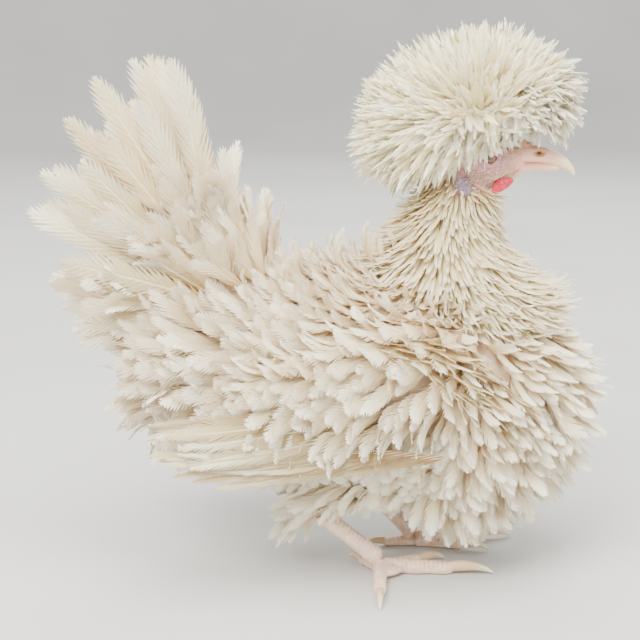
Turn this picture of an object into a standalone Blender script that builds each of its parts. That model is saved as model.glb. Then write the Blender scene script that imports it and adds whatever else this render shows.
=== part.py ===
"""A frizzled crested hen at life size, standing with bent legs, as a still museum model.

Metres, +Z up. The hen faces +X, her right side is -Y, and she stands on the plane z = 0.
Each named part of the bird is one closed solid, 0.3 mm clear of its neighbours.
"""

import copy
import math

import bpy
import numpy as np
from mathutils import Matrix, Vector
from mathutils.bvhtree import BVHTree

# Driving dimensions
GAP = 0.0003
CENTRE_SHIFT = Vector((0.0370, 0.0, 0.0))
SEED = 11

TORSO_REAR_X = -0.128
TORSO_FRONT_X = 0.112

NECK_BASE = (0.036, 0.0, 0.150)
HEAD_MIDDLE = (0.050, 0.0, 0.240)
BILL_ROOT = (0.076, 0.0, 0.2375)
BILL_TIP = (0.1078, 0.0, 0.2300)
EYE_CENTRE = (0.0575, 0.0085, 0.2420)
EYE_RADIUS = 0.0062
CREST_CENTRE = (0.044, 0.0, 0.267)
CREST_RADII = (0.042, 0.035, 0.027)
CREST_UNDERSIDE = 0.8
# how far the crest rises per metre towards the front
CREST_SLOPE = 0.20
CREST_FOREHEAD = (0.056, 0.0, 0.272)
CREST_FEATHERS = 64
CREST_SPAN = 1.55
TAIL_ROOT = (-0.088, 0.0, 0.158)
# degrees of rise from +X and length of each tail feather, from the front of the fan to the back
TAIL_FAN = ((101, 0.145), (109, 0.149), (119, 0.150), (129, 0.140), (141, 0.130), (154, 0.124), (170, 0.100))
# first and last root, first and last tip, count, width and step outwards of each tier of flight feathers
FLIGHT_TIERS = (((0.010, 0.071, 0.104), (-0.060, 0.064, 0.106), (-0.098, 0.072, 0.056), (-0.140, 0.054, 0.108),
                 6, 0.019, 0.0),
                ((0.002, 0.076, 0.112), (-0.058, 0.068, 0.112), (-0.070, 0.080, 0.078), (-0.122, 0.062, 0.120),
                 4, 0.019, 0.003))
COMB_ROOT = (0.0790, 0.0, 0.2475)
COMB_RADII = (0.0040, 0.0042, 0.0024)
COMB_HORN = (0.0780, 0.0030, 0.2493)
COMB_HORN_RADII = (0.0015, 0.0014, 0.0030)
COMB_HORN_LEAN = 15
LID_RADIUS = 0.0048
LID_THICKNESS = 0.0013
LID_MIDDLE = (0.0575, 0.0133, 0.2420)
LID_CLEARANCE = 0.0078
NOSTRIL = (0.0865, 0.0060, 0.2432)
NOSTRIL_RADII = (0.0026, 0.0021, 0.0020)
NOSTRIL_LEAN = -25
LOBE = (0.0430, 0.0185, 0.2255)
LOBE_RADII = (0.0052, 0.0034, 0.0066)
LOBE_LEAN = 20
WATTLE = (0.0655, 0.0105, 0.2262)
WATTLE_RADII = (0.0068, 0.0026, 0.0034)
WATTLE_LEAN = 32
SIDES = ((-1, "right"), (1, "left"))

SHANK_RADIUS = 0.0047
FOOT_RADIUS = 0.0062
SCUTE_HEIGHT = 0.0006
TOE_SCUTE = 0.0062
# length and width of each kind of feather
BODY_FEATHER = (0.029, 0.022)
HACKLE_FEATHER = (0.032, 0.013)
CREST_FEATHER = (0.025, 0.0105)
WING_COVERT = (0.028, 0.020)
TAIL_COVERT = (0.052, 0.019)
THIGH_FEATHER = (0.020, 0.014)
TAIL_WIDTH = 0.0235
FLUFF_EXTRA = 0.014
FLUFF_LENGTH = 0.080
VANE_THICKNESS = 0.0008
ROOT_DEPTH = 0.0028
FEATHER_FLOOR = 0.004
BEND = 1.5
BROAD = ((0.0, 0.45), (0.35, 0.95), (0.72, 1.0), (1.0, 0.42))
LONG = ((0.0, 0.30), (0.45, 0.85), (0.85, 1.0), (1.0, 0.40))
LANCE = ((0.0, 0.6), (0.35, 1.0), (0.7, 0.75), (1.0, 0.12))
SPIKE = ((0.0, 0.7), (0.5, 1.0), (1.0, 0.15))

COLOURS = {
    "plumage": ((0.80, 0.74, 0.62), 0.80),
    "crest": ((0.88, 0.85, 0.70), 0.80),
    "face": ((0.62, 0.42, 0.40), 0.60),
    "bill": ((0.83, 0.68, 0.58), 0.35),
    "leg": ((0.80, 0.62, 0.50), 0.50),
    "claw": ((0.78, 0.70, 0.48), 0.35),
    "eye": ((0.10, 0.05, 0.03), 0.10),
    "red_skin": ((0.80, 0.10, 0.14), 0.50),
    "lobe": ((0.55, 0.50, 0.58), 0.60),
}

random_draw = np.random.default_rng(SEED)


def clear_scene():
    for obj in list(bpy.data.objects):
        bpy.data.objects.remove(obj)


def unit(vectors):
    vectors = np.asarray(vectors, float)
    return vectors / np.maximum(np.linalg.norm(vectors, axis=-1, keepdims=True), 1e-12)


def smooth_through(rows, t):
    """Rows of values at even steps of 0 to 1, read at t on a Catmull-Rom curve."""
    rows = np.asarray(rows, float)
    t = np.clip(np.atleast_1d(t), 0, 1) * (len(rows) - 1)
    i = np.minimum(t.astype(int), len(rows) - 2)
    f = (t - i).reshape((-1,) + (1,) * (rows.ndim - 1))
    ends = np.concatenate([[2 * rows[0] - rows[1]], rows, [2 * rows[-1] - rows[-2]]])
    a, b, c, d = ends[i], ends[i + 1], ends[i + 2], ends[i + 3]
    return 0.5 * (2 * b + (c - a) * f + (2 * a - 5 * b + 4 * c - d) * f**2 + (3 * b - a - 3 * c + d) * f**3)


class Loft:
    """A closed body along a centreline. Rows are (x, y, z, side, up, down), the last three its radii there.

    Side is along the hint, as nearly as the centreline lets it, and up is along the centreline crossed with
    side. The ends are rounded over the shares of the length that rounding gives.
    """

    def __init__(self, rows, rounding=(0.2, 0.2), hint=(0, 1, 0), floor=None, ridges=0, ridge_height=0.0):
        self.rows = np.asarray(rows, float)
        self.rounding = rounding
        self.hint = np.asarray(hint, float)
        self.floor = floor
        self.ridges = ridges
        self.ridge_height = ridge_height

    def at(self, s, angle, grow=0.0):
        s, angle = np.broadcast_arrays(np.asarray(s, float), np.asarray(angle, float))
        shape = s.shape
        s, angle = s.ravel(), angle.ravel()
        values = smooth_through(self.rows, s)
        step = 1e-3
        ahead = smooth_through(self.rows, s + step)[:, :3] - smooth_through(self.rows, s - step)[:, :3]
        along = unit(ahead)
        side = unit(self.hint - along * (along @ self.hint)[:, None])
        up = np.cross(along, side)
        start, end = self.rounding
        rise = np.clip(1 - s / start, 0, 1)
        fall = np.clip(1 - (1 - s) / end, 0, 1)
        cap = np.sqrt(np.clip(1 - rise**2, 0, 1)) * np.sqrt(np.clip(1 - fall**2, 0, 1))
        high = np.where(np.sin(angle) > 0, values[:, 4], values[:, 5])
        if self.ridges:
            tooth = (s * self.ridges) % 1.0
            high = high + np.where(np.sin(angle) > 0.3, self.ridge_height * (1 - tooth), 0.0)
        across = (values[:, 3] + grow) * cap * np.cos(angle)
        upright = (high + grow) * cap * np.sin(angle)
        reach = grow * (fall - rise)
        points = values[:, :3] + side * across[:, None] + up * upright[:, None] + along * reach[:, None]
        if self.floor is not None:
            points[:, 2] = np.maximum(points[:, 2], self.floor - grow)
        return points.reshape(shape + (3,))

    def normal(self, s, angle):
        h = 1e-3
        ds = self.at(np.clip(s + h, 0, 1), angle) - self.at(np.clip(s - h, 0, 1), angle)
        da = self.at(s, np.asarray(angle) + h) - self.at(s, np.asarray(angle) - h)
        return unit(np.cross(da, ds))

    def mesh(self, rings, sides, grow=0.0):
        """Points and faces, with a point at each end."""
        steps = np.linspace(0, 1, rings + 1)
        bent = 0.5 - 0.5 * np.cos(math.pi * steps)
        share = min(1.0, 2 * max(self.rounding))
        s = bent * share + steps * (1 - share)
        if self.ridges:
            s = steps
        angle = (np.arange(sides) + 0.5) / sides * 2 * math.pi - math.pi / 2
        rows = self.at(s[1:-1, None], angle[None, :], grow).reshape(-1, 3)
        ends = self.at(np.array([0.0, 1.0]), np.zeros(2), grow)
        points = np.concatenate([rows, ends])
        faces = []
        for i in range(rings - 2):
            for j in range(sides):
                k = (j + 1) % sides
                a, b = i * sides + j, i * sides + k
                faces.append((a, b, b + sides, a + sides))
        first, last = len(rows), len(rows) + 1
        base = (rings - 2) * sides
        for j in range(sides):
            k = (j + 1) % sides
            faces.append((first, k, j))
            faces.append((last, base + j, base + k))
        return points, faces


class Body:
    """A loft with the fineness of its mesh."""

    def __init__(self, loft, rings, sides):
        self.loft = loft
        self.rings = rings
        self.sides = sides

    def mesh(self, grow=0.0):
        """Its points and faces, grown outwards by a distance."""
        return self.loft.mesh(self.rings, self.sides, grow)


def make_object(name, points, faces, material=None):
    mesh = bpy.data.meshes.new(name)
    mesh.from_pydata([tuple(p) for p in points], [], [tuple(f) for f in faces])
    mesh.validate()
    obj = bpy.data.objects.new(name, mesh)
    bpy.context.scene.collection.objects.link(obj)
    face_outwards(obj)
    if material:
        obj.data.materials.append(material)
    return obj


def face_outwards(obj):
    points, triangles = triangles_of(obj)
    if np.linalg.det(points[triangles]).sum() < 0:
        obj.data.flip_normals()


def triangles_of(obj):
    mesh = obj.data
    mesh.calc_loop_triangles()
    points = np.empty(len(mesh.vertices) * 3, np.float32)
    mesh.vertices.foreach_get("co", points)
    triangles = np.empty(len(mesh.loop_triangles) * 3, np.int32)
    mesh.loop_triangles.foreach_get("vertices", triangles)
    return points.reshape(-1, 3).astype(float), triangles.reshape(-1, 3)


def tree_of(obj):
    points, triangles = triangles_of(obj)
    return BVHTree.FromPolygons(points.tolist(), triangles.tolist())


def material(name):
    colour, roughness = COLOURS[name]
    made = bpy.data.materials.new(name)
    made.use_nodes = True
    shader = made.node_tree.nodes["Principled BSDF"]
    shader.inputs["Base Color"].default_value = (*colour, 1.0)
    shader.inputs["Roughness"].default_value = roughness
    shader.inputs["Metallic"].default_value = 0.0
    return made


def apply_boolean(obj, operation, others, solver="EXACT"):
    """Joins or cuts obj by a list of closed mesh objects, which are then removed."""
    if not others:
        return
    group = bpy.data.collections.new("operands")
    bpy.context.scene.collection.children.link(group)
    for other in others:
        bpy.context.scene.collection.objects.unlink(other)
        group.objects.link(other)
    modifier = obj.modifiers.new("join", "BOOLEAN")
    modifier.operation = operation
    modifier.operand_type = "COLLECTION"
    modifier.collection = group
    modifier.solver = solver
    graph = bpy.context.evaluated_depsgraph_get()
    result = bpy.data.meshes.new_from_object(obj.evaluated_get(graph))
    obj.modifiers.clear()
    old = obj.data
    obj.data = result
    bpy.data.meshes.remove(old)
    for other in list(group.objects):
        bpy.data.objects.remove(other)
    bpy.data.collections.remove(group)
    keep_largest(obj)


def keep_largest(obj):
    """Keeps the closed surface of the greatest volume, and drops loose scraps and sealed hollows."""
    points, triangles = triangles_of(obj)
    label = np.arange(len(points))
    while True:
        least = label[triangles].min(axis=1)
        new = label.copy()
        for corner in range(3):
            np.minimum.at(new, triangles[:, corner], least)
        if (new == label).all():
            break
        label = new
    groups = label[triangles[:, 0]]
    volumes = {g: np.linalg.det(points[triangles[groups == g]]).sum() for g in np.unique(groups)}
    kept = max(volumes, key=lambda g: abs(volumes[g]))
    used, index = np.unique(triangles[groups == kept], return_inverse=True)
    mesh = bpy.data.meshes.new(obj.name)
    mesh.from_pydata(points[used].tolist(), [], index.reshape(-1, 3).tolist())
    for slot in obj.data.materials:
        mesh.materials.append(slot)
    obj.data = mesh


def solid_object(name, body, colour, clear_of=()):
    """A body as a solid, cut 0.3 mm clear of the bodies that it grows from."""
    obj = make_object(name, *body.mesh(), material(colour))
    cut_clear(obj, clear_of)
    return obj


def cut_clear(obj, bodies):
    """Cuts obj back to 0.3 mm from each of the bodies."""
    apply_boolean(obj, "DIFFERENCE", [make_object("cutter", *body.mesh(GAP)) for body in bodies])


class Vane:
    """One feather or tuft as a thin curved plate that tapers to its tip.

    It leaves the skin at the angle lift, along the lie, and bends away from the skin to the angle curl, most
    of all near its tip. The profile gives its width at shares of its length.
    """

    def __init__(self, root, along, normal, length, width, lift, curl, turn=0.0, sink=0.004, profile=BROAD):
        normal = unit(normal)
        self.root = np.asarray(root, float) - ROOT_DEPTH * normal
        along = np.asarray(along, float)
        self.along = unit(along - normal * (along @ normal))
        self.normal = normal
        self.length = length
        self.width = width
        self.lift = math.radians(lift)
        self.curl = math.radians(curl)
        self.sink = sink
        self.turn = math.radians(turn)
        self.profile = profile

    def mesh(self, grow=0.0):
        """Points and faces. Both broad faces are split into triangles alike."""
        share = np.array([row[0] for row in self.profile])
        width = np.array([row[1] for row in self.profile]) * self.width
        angle = self.lift + (self.curl - self.lift) * share**BEND
        ahead = np.cos(angle)[:, None] * self.along + np.sin(angle)[:, None] * self.normal
        face = np.cos(angle)[:, None] * self.normal - np.sin(angle)[:, None] * self.along
        middle = 0.5 * (ahead[1:] + ahead[:-1])
        steps = np.diff(share)[:, None] * self.length * middle
        line = self.root + np.vstack([np.zeros(3), np.cumsum(steps, axis=0)])
        line[0] -= ahead[0] * self.sink
        side = np.cross(face, ahead)
        roll = self.turn * share
        across = np.cos(roll)[:, None] * side + np.sin(roll)[:, None] * face
        face = np.cross(ahead, across)
        thick = VANE_THICKNESS * (1 - 0.5 * share**2)
        half_width = (width / 2 + grow)[:, None] * across
        half_thick = (thick / 2 + grow)[:, None] * face
        rows = [line - half_width + half_thick, line + half_width + half_thick]
        rows += [line + half_width - half_thick, line - half_width - half_thick]
        points = np.stack(rows, axis=1).reshape(-1, 3)
        faces = []
        for k in range(len(share) - 1):
            a, b = 4 * k, 4 * k + 4
            faces += [(a, b, b + 1), (a, b + 1, a + 1)]
            faces += [(a + 3, b + 2, b + 3), (a + 3, a + 2, b + 2)]
            faces += [(a + 1, b + 1, b + 2), (a + 1, b + 2, a + 2)]
            faces += [(a, a + 3, b + 3), (a, b + 3, b)]
        last = 4 * (len(share) - 1)
        faces += [(0, 1, 2), (0, 2, 3), (last, last + 2, last + 1), (last, last + 3, last + 2)]
        return points, faces

    def is_clear(self, trees):
        points, faces = self.mesh(GAP)
        own = BVHTree.FromPolygons(points.tolist(), faces)
        return not any(own.overlap(tree) for tree in trees)

    def changed(self, length, lift):
        """The same feather at a share of its length and lifted by degrees."""
        other = copy.copy(self)
        other.length = self.length * length
        other.lift = self.lift + math.radians(lift)
        other.curl = self.curl + math.radians(lift)
        return other


def fitted(vane, trees):
    """The vane, lifted or shortened until it is clear of the other nodes and the floor, or None."""
    for length, lift in ((1.0, 0), (1.0, 12), (0.85, 12), (0.7, 15), (0.7, 30), (0.5, 20)):
        tried = vane.changed(length, lift)
        if tried.mesh()[0][:, 2].min() > FEATHER_FLOOR and tried.is_clear(trees):
            return tried
    return None


def fuse_vanes(obj, vanes, trees):
    """Joins to obj each vane that can be fitted clear of the other nodes."""
    kept = [fit for fit in (fitted(vane, trees) for vane in vanes) if fit]
    apply_boolean(obj, "UNION", [make_object("vane", *fit.mesh()) for fit in kept], "MANIFOLD")


# The bodies that everything grows from, all worked out from the driving dimensions

def torso_loft():
    """The trunk from the rump to the breast."""
    length = TORSO_FRONT_X - TORSO_REAR_X
    girths = ((0.121, 0.036, 0.038, 0.036), (0.117, 0.049, 0.050, 0.047), (0.113, 0.062, 0.060, 0.059),
              (0.112, 0.072, 0.066, 0.067), (0.112, 0.072, 0.064, 0.068), (0.112, 0.064, 0.056, 0.062),
              (0.113, 0.052, 0.046, 0.050))
    step = length / (len(girths) - 1)
    rows = [(TORSO_REAR_X + i * step, 0.0, *girth) for i, girth in enumerate(girths)]
    return Loft(rows, rounding=(0.33, 0.33))


def neck_loft():
    """The neck inside the hackle, from the shoulders up."""
    x, y, z = NECK_BASE
    rows = ((x, y, z, 0.040, 0.046, 0.050), (x - 0.002, y, z + 0.025, 0.033, 0.036, 0.040),
            (x, y, z + 0.047, 0.024, 0.026, 0.029), (x + 0.005, y, z + 0.066, 0.019, 0.020, 0.022),
            (x + 0.010, y, z + 0.084, 0.016, 0.016, 0.017))
    return Loft(rows, rounding=(0.1, 0.15))


def head_loft():
    """The skull with its cheeks, from the nape to the root of the bill."""
    x, y, z = HEAD_MIDDLE
    rows = ((x - 0.032, y, z, 0.010, 0.012, 0.010), (x - 0.016, y, z + 0.001, 0.0145, 0.020, 0.016),
            (x, y, z, 0.0155, 0.020, 0.0175), (x + 0.012, y, z - 0.0015, 0.0135, 0.014, 0.0150),
            (x + 0.022, y, z - 0.0025, 0.0095, 0.0095, 0.0095),
            (x + 0.030, y, z - 0.0022, 0.0066, 0.0070, 0.0058))
    return Loft(rows, rounding=(0.25, 0.12))


def upper_bill_loft():
    """The upper bill down to its hooked tip."""
    x, y, z = BILL_ROOT
    tip_x, _, tip_z = BILL_TIP
    rows = ((x - 0.004, y, z + 0.0030, 0.0066, 0.0062, 0.0036),
            (x + 0.007, y, z + 0.0036, 0.0060, 0.0062, 0.0038),
            (x + 0.016, y, z + 0.0026, 0.0050, 0.0052, 0.0036),
            (x + 0.0235, y, z + 0.0002, 0.0038, 0.0040, 0.0032),
            (tip_x - 0.0030, y, tip_z + 0.0040, 0.0022, 0.0024, 0.0022),
            (tip_x, y, tip_z, 0.0007, 0.0008, 0.0007))
    return Loft(rows, rounding=(0.1, 0.08))


def lower_bill_loft():
    """The shorter lower bill."""
    x, y, z = BILL_ROOT
    rows = ((x - 0.004, y, z - 0.0030, 0.0060, 0.0030, 0.0034),
            (x + 0.007, y, z - 0.0026, 0.0051, 0.0030, 0.0029),
            (x + 0.016, y, z - 0.0028, 0.0039, 0.0026, 0.0022),
            (x + 0.0235, y, z - 0.0032, 0.0020, 0.0016, 0.0012))
    return Loft(rows, rounding=(0.1, 0.15))


def crest_loft():
    """The mass under the crest's feathers, higher in front than behind."""
    x, y, z = CREST_CENTRE
    long, wide, high = CREST_RADII
    rows = [(x + long * step, y, z + CREST_SLOPE * long * step, wide, high, CREST_UNDERSIDE * high)
            for step in (-1.0, -0.5, 0.0, 0.5, 1.0)]
    return Loft(rows, rounding=(0.5, 0.5))


def tail_loft():
    """The fleshy root that carries the tail."""
    x, y, z = TAIL_ROOT
    rows = ((x + 0.030, y, z - 0.012, 0.022, 0.024, 0.022), (x + 0.003, y, z + 0.006, 0.021, 0.024, 0.024),
            (x - 0.017, y, z + 0.025, 0.013, 0.020, 0.020), (x - 0.028, y, z + 0.037, 0.006, 0.012, 0.012))
    return Loft(rows, rounding=(0.2, 0.3), hint=(0, -1, 0))


def wing_loft(side):
    """The folded wing of a side, -1 for the right."""
    rows = ((0.052, 0.050, 0.142, 0.010, 0.020, 0.020), (0.025, 0.066, 0.134, 0.011, 0.026, 0.026),
            (-0.010, 0.072, 0.124, 0.010, 0.027, 0.027), (-0.045, 0.069, 0.115, 0.009, 0.022, 0.022),
            (-0.075, 0.061, 0.109, 0.008, 0.014, 0.014))
    return Loft([(x, side * y, *rest) for x, y, *rest in rows], rounding=(0.3, 0.25), hint=(0, -1, 0))


class Leg:
    """One leg: its hock, its foot, and the heading and length of its toes."""

    def __init__(self, side, hock, foot, toes):
        self.side = side
        self.name = "left" if side > 0 else "right"
        self.hock = np.array(hock)
        self.foot = np.array(foot)
        self.toes = toes

    def thigh_loft(self):
        """The feathered thigh above the hock."""
        x, y, z = self.hock
        rows = ((x + 0.037, y + 0.014 * self.side, z + 0.045, 0.019, 0.021, 0.021),
                (x + 0.020, y + 0.010 * self.side, z + 0.022, 0.015, 0.017, 0.017),
                (x + 0.002, y + 0.001 * self.side, z + 0.003, 0.0075, 0.0085, 0.0085))
        return Loft(rows, rounding=(0.2, 0.25))

    def shank_loft(self):
        """The scaled shank from the hock down to the foot."""
        down = self.foot - self.hock
        start = self.hock - unit(down) * 0.002
        thick = ((0.0, 0.0062), (0.25, 0.0050), (0.5, SHANK_RADIUS), (0.75, 0.0050), (1.0, FOOT_RADIUS))
        rows = [(*(start + (self.foot - start) * share), 0.9 * r, r, r) for share, r in thick]
        return Loft(rows, rounding=(0.12, 0.14), floor=0.0, ridges=8, ridge_height=SCUTE_HEIGHT)

    def toe_line(self, heading, length, share):
        """The place at a share of the length along a heading from the foot."""
        turn = math.radians(heading)
        step = np.array([math.cos(turn), math.sin(turn), 0.0])
        return self.foot + step * length * share

    def toe_loft(self, heading, length, radius):
        """One toe, flat under its sole."""
        rows = []
        for share, thick in ((0.0, 1.15), (0.25, 1.1), (0.5, 0.95), (0.75, 0.92), (1.0, 0.78)):
            x, y, _ = self.toe_line(heading, length, share)
            r = radius * thick
            rows.append((x, y, 0.86 * r, 0.86 * r, 1.05 * r, r))
        turn = math.radians(heading)
        hint = (-math.sin(turn), math.cos(turn), 0.0)
        ridges = max(3, round(length / TOE_SCUTE))
        return Loft(rows, rounding=(0.08, 0.10), hint=hint, floor=0.0, ridges=ridges, ridge_height=SCUTE_HEIGHT)

    def claw_loft(self, heading, length, radius, claw):
        """One claw, bent down to the floor at its tip."""
        turn = math.radians(heading)
        hint = (-math.sin(turn), math.cos(turn), 0.0)
        rows = []
        bends = ((-0.25, 0.95, 0.50), (0.1, 1.20, 0.56), (0.45, 1.18, 0.44), (0.78, 0.75, 0.26), (1.0, 0.16, 0.10))
        for share, height, thick in bends:
            x, y, _ = self.toe_line(heading, length + claw * share, 1.0)
            rows.append((x, y, radius * height, 0.8 * radius * thick, radius * thick, radius * thick))
        return Loft(rows, rounding=(0.1, 0.08), hint=hint, floor=0.0)


# heading in degrees from +X towards +Y, length and radius of the toe, length of its claw
RIGHT_LEG = Leg(-1, (-0.042, -0.024, 0.0405), (-0.002, -0.022, 0.0075),
                {"middle": (-3, 0.0440, 0.0050, 0.0225), "outer": (-92, 0.0420, 0.0045, 0.0170),
                 "inner": (28, 0.0300, 0.0043, 0.0150), "hind": (126, 0.0190, 0.0036, 0.0110)})
LEFT_LEG = Leg(1, (-0.018, 0.027, 0.0440), (0.021, 0.024, 0.0075),
               {"middle": (14, 0.0430, 0.0050, 0.0200), "outer": (62, 0.0400, 0.0045, 0.0165),
                "inner": (-14, 0.0310, 0.0043, 0.0150), "hind": (-176, 0.0200, 0.0036, 0.0110)})


class Ellipsoid:
    """A closed ellipsoid with its poles along Y, leant by degrees about Y."""

    def __init__(self, centre, radii, lean=0.0, segments=12, rings=8):
        self.centre = np.asarray(centre, float)
        self.radii = np.asarray(radii, float)
        self.lean = math.radians(lean)
        self.segments = segments
        self.rings = rings

    def mesh(self, grow=0.0):
        count = self.segments
        turn = np.linspace(0, 2 * math.pi, count, endpoint=False)
        rise = np.linspace(0, math.pi, self.rings + 1)[1:-1]
        flat = np.stack([np.outer(np.sin(rise), np.cos(turn)), np.outer(np.cos(rise), np.ones(count)),
                         np.outer(np.sin(rise), np.sin(turn))], axis=-1).reshape(-1, 3)
        points = np.concatenate([flat, [(0, 1, 0), (0, -1, 0)]]) * (self.radii + grow)
        x = points[:, 0] * math.cos(self.lean) - points[:, 2] * math.sin(self.lean)
        z = points[:, 0] * math.sin(self.lean) + points[:, 2] * math.cos(self.lean)
        points = np.stack([x, points[:, 1], z], axis=1) + self.centre
        faces = []
        for i in range(self.rings - 2):
            for j in range(count):
                a, b = i * count + j, i * count + (j + 1) % count
                faces.append((a, b, b + count, a + count))
        top, bottom = len(flat), len(flat) + 1
        for j in range(count):
            k = (j + 1) % count
            faces += [(top, k, j), (bottom, len(flat) - count + j, len(flat) - count + k)]
        return points, faces


def ring(name, centre, radius, thickness, stretch=1.0, segments=10, sides=4):
    """A closed ring about the Y axis, for an eyelid."""
    turn = np.linspace(0, 2 * math.pi, segments, endpoint=False)
    round_it = np.linspace(0, 2 * math.pi, sides, endpoint=False)
    out = radius + thickness * np.cos(round_it)[None, :]
    x = out * np.cos(turn)[:, None]
    z = out * np.sin(turn)[:, None] * stretch
    y = np.broadcast_to(thickness * np.sin(round_it)[None, :], x.shape)
    points = np.stack([x, y, z], axis=-1).reshape(-1, 3) + centre
    faces = []
    for i in range(segments):
        for j in range(sides):
            a, b = i * sides + j, i * sides + (j + 1) % sides
            c, d = (i + 1) % segments * sides + j, (i + 1) % segments * sides + (j + 1) % sides
            faces.append((a, b, d, c))
    return make_object(name, points, faces)


def on_both_sides(place):
    """A place on the right and its mirror image on the left."""
    x, y, z = place
    return [((x, side * y, z), word) for side, word in SIDES]


TORSO = Body(torso_loft(), 12, 18)
NECK = Body(neck_loft(), 7, 14)
HEAD = Body(head_loft(), 13, 16)
UPPER_BILL = Body(upper_bill_loft(), 10, 13)
LOWER_BILL = Body(lower_bill_loft(), 9, 10)
CREST = Body(crest_loft(), 9, 12)
TAIL = Body(tail_loft(), 7, 12)
EYES = [Ellipsoid(place, (EYE_RADIUS,) * 3, 0, 12, 7) for place, _ in on_both_sides(EYE_CENTRE)]
COMB_BASE = Ellipsoid(COMB_ROOT, COMB_RADII, 0, 8, 7)
COMB_HORNS = [Ellipsoid(place, COMB_HORN_RADII, COMB_HORN_LEAN, 7, 5) for place, _ in on_both_sides(COMB_HORN)]


def make_trunk():
    """The torso, and the neck and tail root that stand on it."""
    solid_object("torso", TORSO, "plumage")
    solid_object("neck", NECK, "plumage", [TORSO, HEAD])
    solid_object("tail", TAIL, "plumage", [TORSO])


def make_head():
    """The head with a ring of lid round each eye."""
    head = solid_object("head", HEAD, "face")
    lids = [ring("lid", place, LID_RADIUS, LID_THICKNESS, 0.9) for place, _ in on_both_sides(LID_MIDDLE)]
    apply_boolean(head, "UNION", lids)
    cut_clear(head, EYES)
    return head


def make_eyes():
    """Both eyeballs, in the sockets that the head keeps clear."""
    for eye, (_, word) in zip(EYES, SIDES):
        solid_object(f"eye_{word}", eye, "eye")


def make_bill():
    """The upper bill with a pit for each nostril, and the lower bill."""
    upper = solid_object("bill_upper", UPPER_BILL, "bill", [HEAD])
    nostrils = [Ellipsoid(place, NOSTRIL_RADII, NOSTRIL_LEAN, 9, 6) for place, _ in on_both_sides(NOSTRIL)]
    apply_boolean(upper, "DIFFERENCE", [make_object("nostril", *nostril.mesh()) for nostril in nostrils])
    solid_object("bill_lower", LOWER_BILL, "bill", [HEAD, UPPER_BILL])


def make_comb():
    """The small comb of two horns at the root of the bill."""
    comb = make_object("comb", *COMB_BASE.mesh(), material("red_skin"))
    apply_boolean(comb, "UNION", [make_object("horn", *horn.mesh()) for horn in COMB_HORNS])
    cut_clear(comb, [HEAD, UPPER_BILL])


def make_face_skin():
    """The lobes behind the cheeks and the small wattles under the gape."""
    for place, word in on_both_sides(LOBE):
        lobe = Ellipsoid(place, LOBE_RADII, LOBE_LEAN, 12, 6)
        solid_object(f"lobe_{word}", lobe, "lobe", [HEAD, NECK])
    for place, word in on_both_sides(WATTLE):
        wattle = Ellipsoid(place, WATTLE_RADII, WATTLE_LEAN, 12, 6)
        solid_object(f"wattle_{word}", wattle, "red_skin", [HEAD, NECK])


def make_crest():
    """The mass of the crest, clear of the head, the bill and the lids."""
    lids = [Ellipsoid(eye.centre, (LID_CLEARANCE,) * 3) for eye in EYES]
    solid_object("crest", CREST, "crest", [HEAD, NECK, UPPER_BILL, LOWER_BILL, COMB_BASE, *COMB_HORNS, *lids])


def make_wing(side, word):
    """The folded wing, without its feathers."""
    solid_object(f"wing_{word}", Body(wing_loft(side), 9, 12), "plumage", [TORSO, NECK])


def make_leg(leg):
    """Thigh, shank, toes and claws, each cut clear of what it grows from."""
    thigh = Body(leg.thigh_loft(), 7, 10)
    shank = Body(leg.shank_loft(), 17, 9)
    solid_object(f"thigh_{leg.name}", thigh, "plumage", [TORSO])
    solid_object(f"shank_{leg.name}", shank, "leg", [thigh, TORSO])
    done = [shank]
    for toe, (heading, length, radius, claw) in leg.toes.items():
        loft = leg.toe_loft(heading, length, radius)
        toe_body = Body(loft, 2 * loft.ridges, 7)
        solid_object(f"toe_{toe}_{leg.name}", toe_body, "leg", done)
        done.append(toe_body)
        claw_body = Body(leg.claw_loft(heading, length, radius, claw), 7, 6)
        solid_object(f"claw_{toe}_{leg.name}", claw_body, "claw", [toe_body])


# The feathers of each node

def varied(value, share=0.1):
    """The value, up to a share more or less."""
    return value * (1 + share * random_draw.uniform(-1, 1))


def roots_on(loft, steps, spacing):
    """Points and normals round a loft at each step along it, at about the spacing, and staggered."""
    full_turn = np.linspace(0, 2 * math.pi, 49)
    for k, s in enumerate(steps):
        girth = np.linalg.norm(np.diff(loft.at(s, full_turn), axis=0), axis=1).sum()
        count = max(3, round(girth / spacing))
        for j in range(count):
            angle = 2 * math.pi * (j + 0.5 * (k % 2)) / count
            yield loft.at(s, angle), loft.normal(s, angle)


def body_lie(point):
    """Back and down on the sides, and straight down on the breast."""
    share = np.clip((point[0] - 0.04) / 0.05, 0, 1)
    share = share**2 * (3 - 2 * share)
    return (1 - share) * np.array((-1.0, 0.0, -0.45)) + share * np.array((-0.1, 0.0, -1.0))


def torso_vanes():
    """Broad curled feathers, longer on the fluff of the rear."""
    length, width = BODY_FEATHER
    vanes = []
    for point, normal in roots_on(TORSO.loft, np.linspace(0.03, 0.97, 10), 0.035):
        share = np.clip((TORSO_REAR_X + FLUFF_LENGTH - point[0]) / FLUFF_LENGTH, 0, 1)
        vanes.append(Vane(point, body_lie(point), normal, varied(length + FLUFF_EXTRA * share), varied(width),
                          6 + 8 * share, varied(92 - 20 * share), random_draw.uniform(-15, 15)))
    return vanes


def neck_vanes():
    """The hackle, in rows that flow down and curl out."""
    length, width = HACKLE_FEATHER
    vanes = []
    for point, normal in roots_on(NECK.loft, (0.26, 0.52, 0.80), 0.0175):
        lie = np.array((-0.15, 0.0, -1.0))
        vanes.append(Vane(point, lie, normal, varied(length), varied(width), 8, varied(78), profile=LANCE))
    return vanes


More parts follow.
